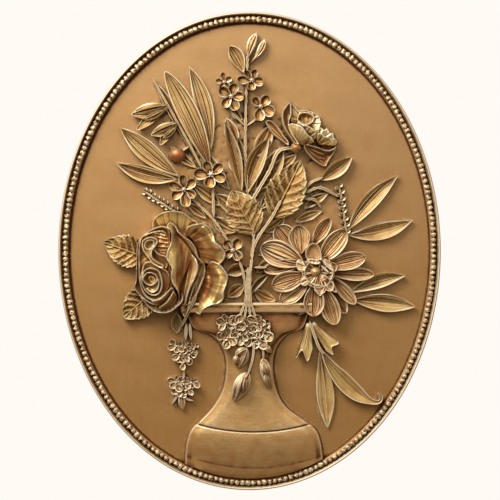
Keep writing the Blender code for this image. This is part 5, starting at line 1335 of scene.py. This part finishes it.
for (x, z, width), aside in zip(curled, square):
    half = width / 2
    inner = (1 - np.abs(v)) * half
    edge = 0.35 * np.exp(-(((inner - 0.3) / 0.35) ** 2)) * min(1, half)
    height = (BLADE_RELIEF * (1.4 - 0.07 * width * (1 - np.abs(v))) + edge
              + 0.15 * np.cos(2 * np.pi * np.abs(v) * 2.5) * min(1, half / 2))
    spots = np.column_stack([x + aside[0] * v * half, z + aside[1] * v * half])
    top = at_height(spots, height, np.clip(edge / 0.35, 0, 1))
    under = [(x + aside[0] * s * half, z + aside[1] * s * half, level, 0) for s, level in
             ((1.0, height[-1] - 0.6), (0.7, 2.0), (0.6, BURIED), (0, BURIED), (-0.6, BURIED), (-0.7, 2.0),
              (-1.0, height[0] - 0.6))]
    loops.append(np.vstack([top, under]))
bells.append(wrap(np.array(loops), capped=True))
cast("drooping_spray", bells, leaf_finish)


# The patina: the brown wash gathers where the brush and the rag can't reach. How open each spot lies is
# felt out with short rays over the whole relief and kept on every piece, where its finish reads it. Shade
# and highlight are painted on as well: what is turned away from the upper left, where the window lamp
# is, is painted darker, and what is turned towards it paler.

PAINTED_SHADE_FACING = (0.6, 0.0, -0.8)
FEELER_REACH = 6.0 * MM
FEELER_NEARBY = 2.4 * MM
SKIN = 0.05 * MM
DEEPEST_GROOVE = 0.16
GOLDEN_TURN = 2.39996


def feel_out(pieces, rays):
    """Keeps on each point how open it lies, from 0 in a deep hollow to 1 on open ground, and how far it is
    sunk below the points next to it, from -1 on a ridge to 1 in a furrow, with painted shade added where it
    is turned away from the window lamp and painted highlight where it is turned towards it."""
    points, faces, offset = [], [], 0
    for piece in pieces:
        piece.data.calc_loop_triangles()
        points.append(numbers(piece.data.vertices, "co"))
        faces.append(numbers(piece.data.loop_triangles, "vertices", kind=np.int32) + offset)
        offset += len(points[-1])
    tree = BVHTree.FromPolygons(np.vstack(points).tolist(), np.vstack(faces).tolist(), all_triangles=True)
    lift = np.sqrt((np.arange(rays) + 0.5) / rays)
    swing = np.arange(rays) * GOLDEN_TURN
    hemisphere = np.column_stack([np.cos(swing) * lift, np.sin(swing) * lift, np.sqrt(1 - lift**2)])
    for piece, places in zip(pieces, points):
        mesh = piece.data
        normals = numbers(mesh.vertex_normals, "vector")
        openness = np.ones(len(places), np.float32)
        for k, (place, normal) in enumerate(zip(places, normals)):
            if place[1] > -GROUND_THICKNESS + 0.0002:
                continue
            facing = Vector(normal)
            turn = facing.to_track_quat("Z", "Y")
            start = Vector(place) + facing * SKIN
            blocked = 0.0
            for ray in hemisphere:
                hit = tree.ray_cast(start, turn @ Vector(ray), FEELER_REACH)
                if hit[0] is not None:
                    blocked += 0.5 - 0.5 * hit[3] / FEELER_REACH + 0.5 * max(0, 1 - hit[3] / FEELER_NEARBY)
            openness[k] = 1 - blocked / rays
        ends = numbers(mesh.edges, "vertices", 2, np.int32)
        level = places.astype(float)
        neighbours = np.maximum(np.bincount(ends.ravel(), minlength=len(places)), 1)
        for _ in range(3):
            total = np.column_stack([np.bincount(ends.ravel(), level[ends[:, ::-1].ravel(), k], len(places))
                                     for k in range(3)])
            level = 0.5 * level + 0.5 * total / neighbours[:, None]
        sunk = ((level - places) * normals).sum(axis=1) / MM / DEEPEST_GROOVE
        # Painted shade and highlight: a face turned away from the upper left, where the window lamp is,
        # counts as sunk, so it gets more wash and less rub, and a face turned towards it the opposite.
        facing_painted_shade = normals @ np.array(PAINTED_SHADE_FACING)
        keep_on(mesh, "groove_and_painted_shade", np.clip(np.clip(sunk, -1, 1) + 0.7 * facing_painted_shade, -1, 1))
        for _ in range(2):
            total, count = openness.copy(), np.ones(len(openness), np.float32)
            for here, there in ((0, 1), (1, 0)):
                np.add.at(total, ends[:, here], openness[ends[:, there]])
                np.add.at(count, ends[:, here], 1)
            openness = total / count
        keep_on(mesh, "shade", openness)


feel_out(PIECES, rays=10)


# The room: plain cream walls, as in the photograph, a pale floor well below the plaque, and soft light from
# the upper left. The camera looks at the plaque's middle from straight in front.

PHOTO_SIDE = 500
OVAL_IN_PHOTO = 382
OVAL_MIDDLE = (249.5, 251)

world = bpy.data.worlds.new("cream_room")
bpy.context.scene.world = world
world.use_nodes = True
room = Wire(world.node_tree)
backdrop = world.node_tree.nodes["Background"]
seen = room.node("ShaderNodeLightPath", out="Is Camera Ray")
colour = tint(seen, (0.80, 0.72, 0.62, 1), (1.0, 0.956, 0.905, 1))
world.node_tree.links.new(colour.socket, backdrop.inputs["Color"])
world.node_tree.links.new((0.30 + 0.70 * seen).socket, backdrop.inputs["Strength"])

floor_shape = bmesh.new()
bmesh.ops.create_grid(floor_shape, x_segments=1, y_segments=1, size=3)
bmesh.ops.translate(floor_shape, verts=floor_shape.verts, vec=(0, 0, -1.3))
floor_mesh = bpy.data.meshes.new("floor")
floor_shape.to_mesh(floor_mesh)
floor_shape.free()
floor_finish = bpy.data.materials.new("pale_floor")
floor_finish.use_nodes = True
floor_shader = floor_finish.node_tree.nodes["Principled BSDF"]
floor_shader.inputs["Base Color"].default_value = (0.8, 0.76, 0.7, 1)
floor_shader.inputs["Roughness"].default_value = 0.7
floor_mesh.materials.append(floor_finish)
floor_piece = put("floor", floor_mesh)


def lamp(name, place, power, size, colour):
    """A soft square lamp turned to the plaque's middle."""
    light = bpy.data.lights.new(name, "AREA")
    light.energy, light.size, light.color = power, size, colour
    made = put(name, light)
    made.location = place
    made.rotation_euler = (-Vector(place)).to_track_quat("-Z", "Y").to_euler()


lamp("window", (-0.36, -0.44, 0.52), 8.6, 0.40, (1.0, 0.955, 0.90))
lamp("front", (0.1, -1.3, 0.6), 5.4, 0.9, (1.0, 0.97, 0.94))
lamp("side_fill", (0.9, -0.6, 0.25), 1.2, 0.6, (1.0, 0.92, 0.84))

camera = bpy.data.cameras.new("camera")
camera.lens = 180
camera.sensor_width = 36
stand = put("camera", camera)
view_width = 2 * HALF_WIDTH * PHOTO_SIDE / OVAL_IN_PHOTO
distance = view_width * camera.lens / camera.sensor_width
pixel = view_width / PHOTO_SIDE
aim = Vector(((PHOTO_SIDE / 2 - OVAL_MIDDLE[0]) * pixel, -GROUND_THICKNESS,
              (OVAL_MIDDLE[1] - PHOTO_SIDE / 2) * pixel))
stand.location = aim + Vector((0, -distance, 0))
stand.rotation_euler = (math.pi / 2, 0, 0)
bpy.context.scene.camera = stand
bpy.context.scene.view_settings.view_transform = "Standard"
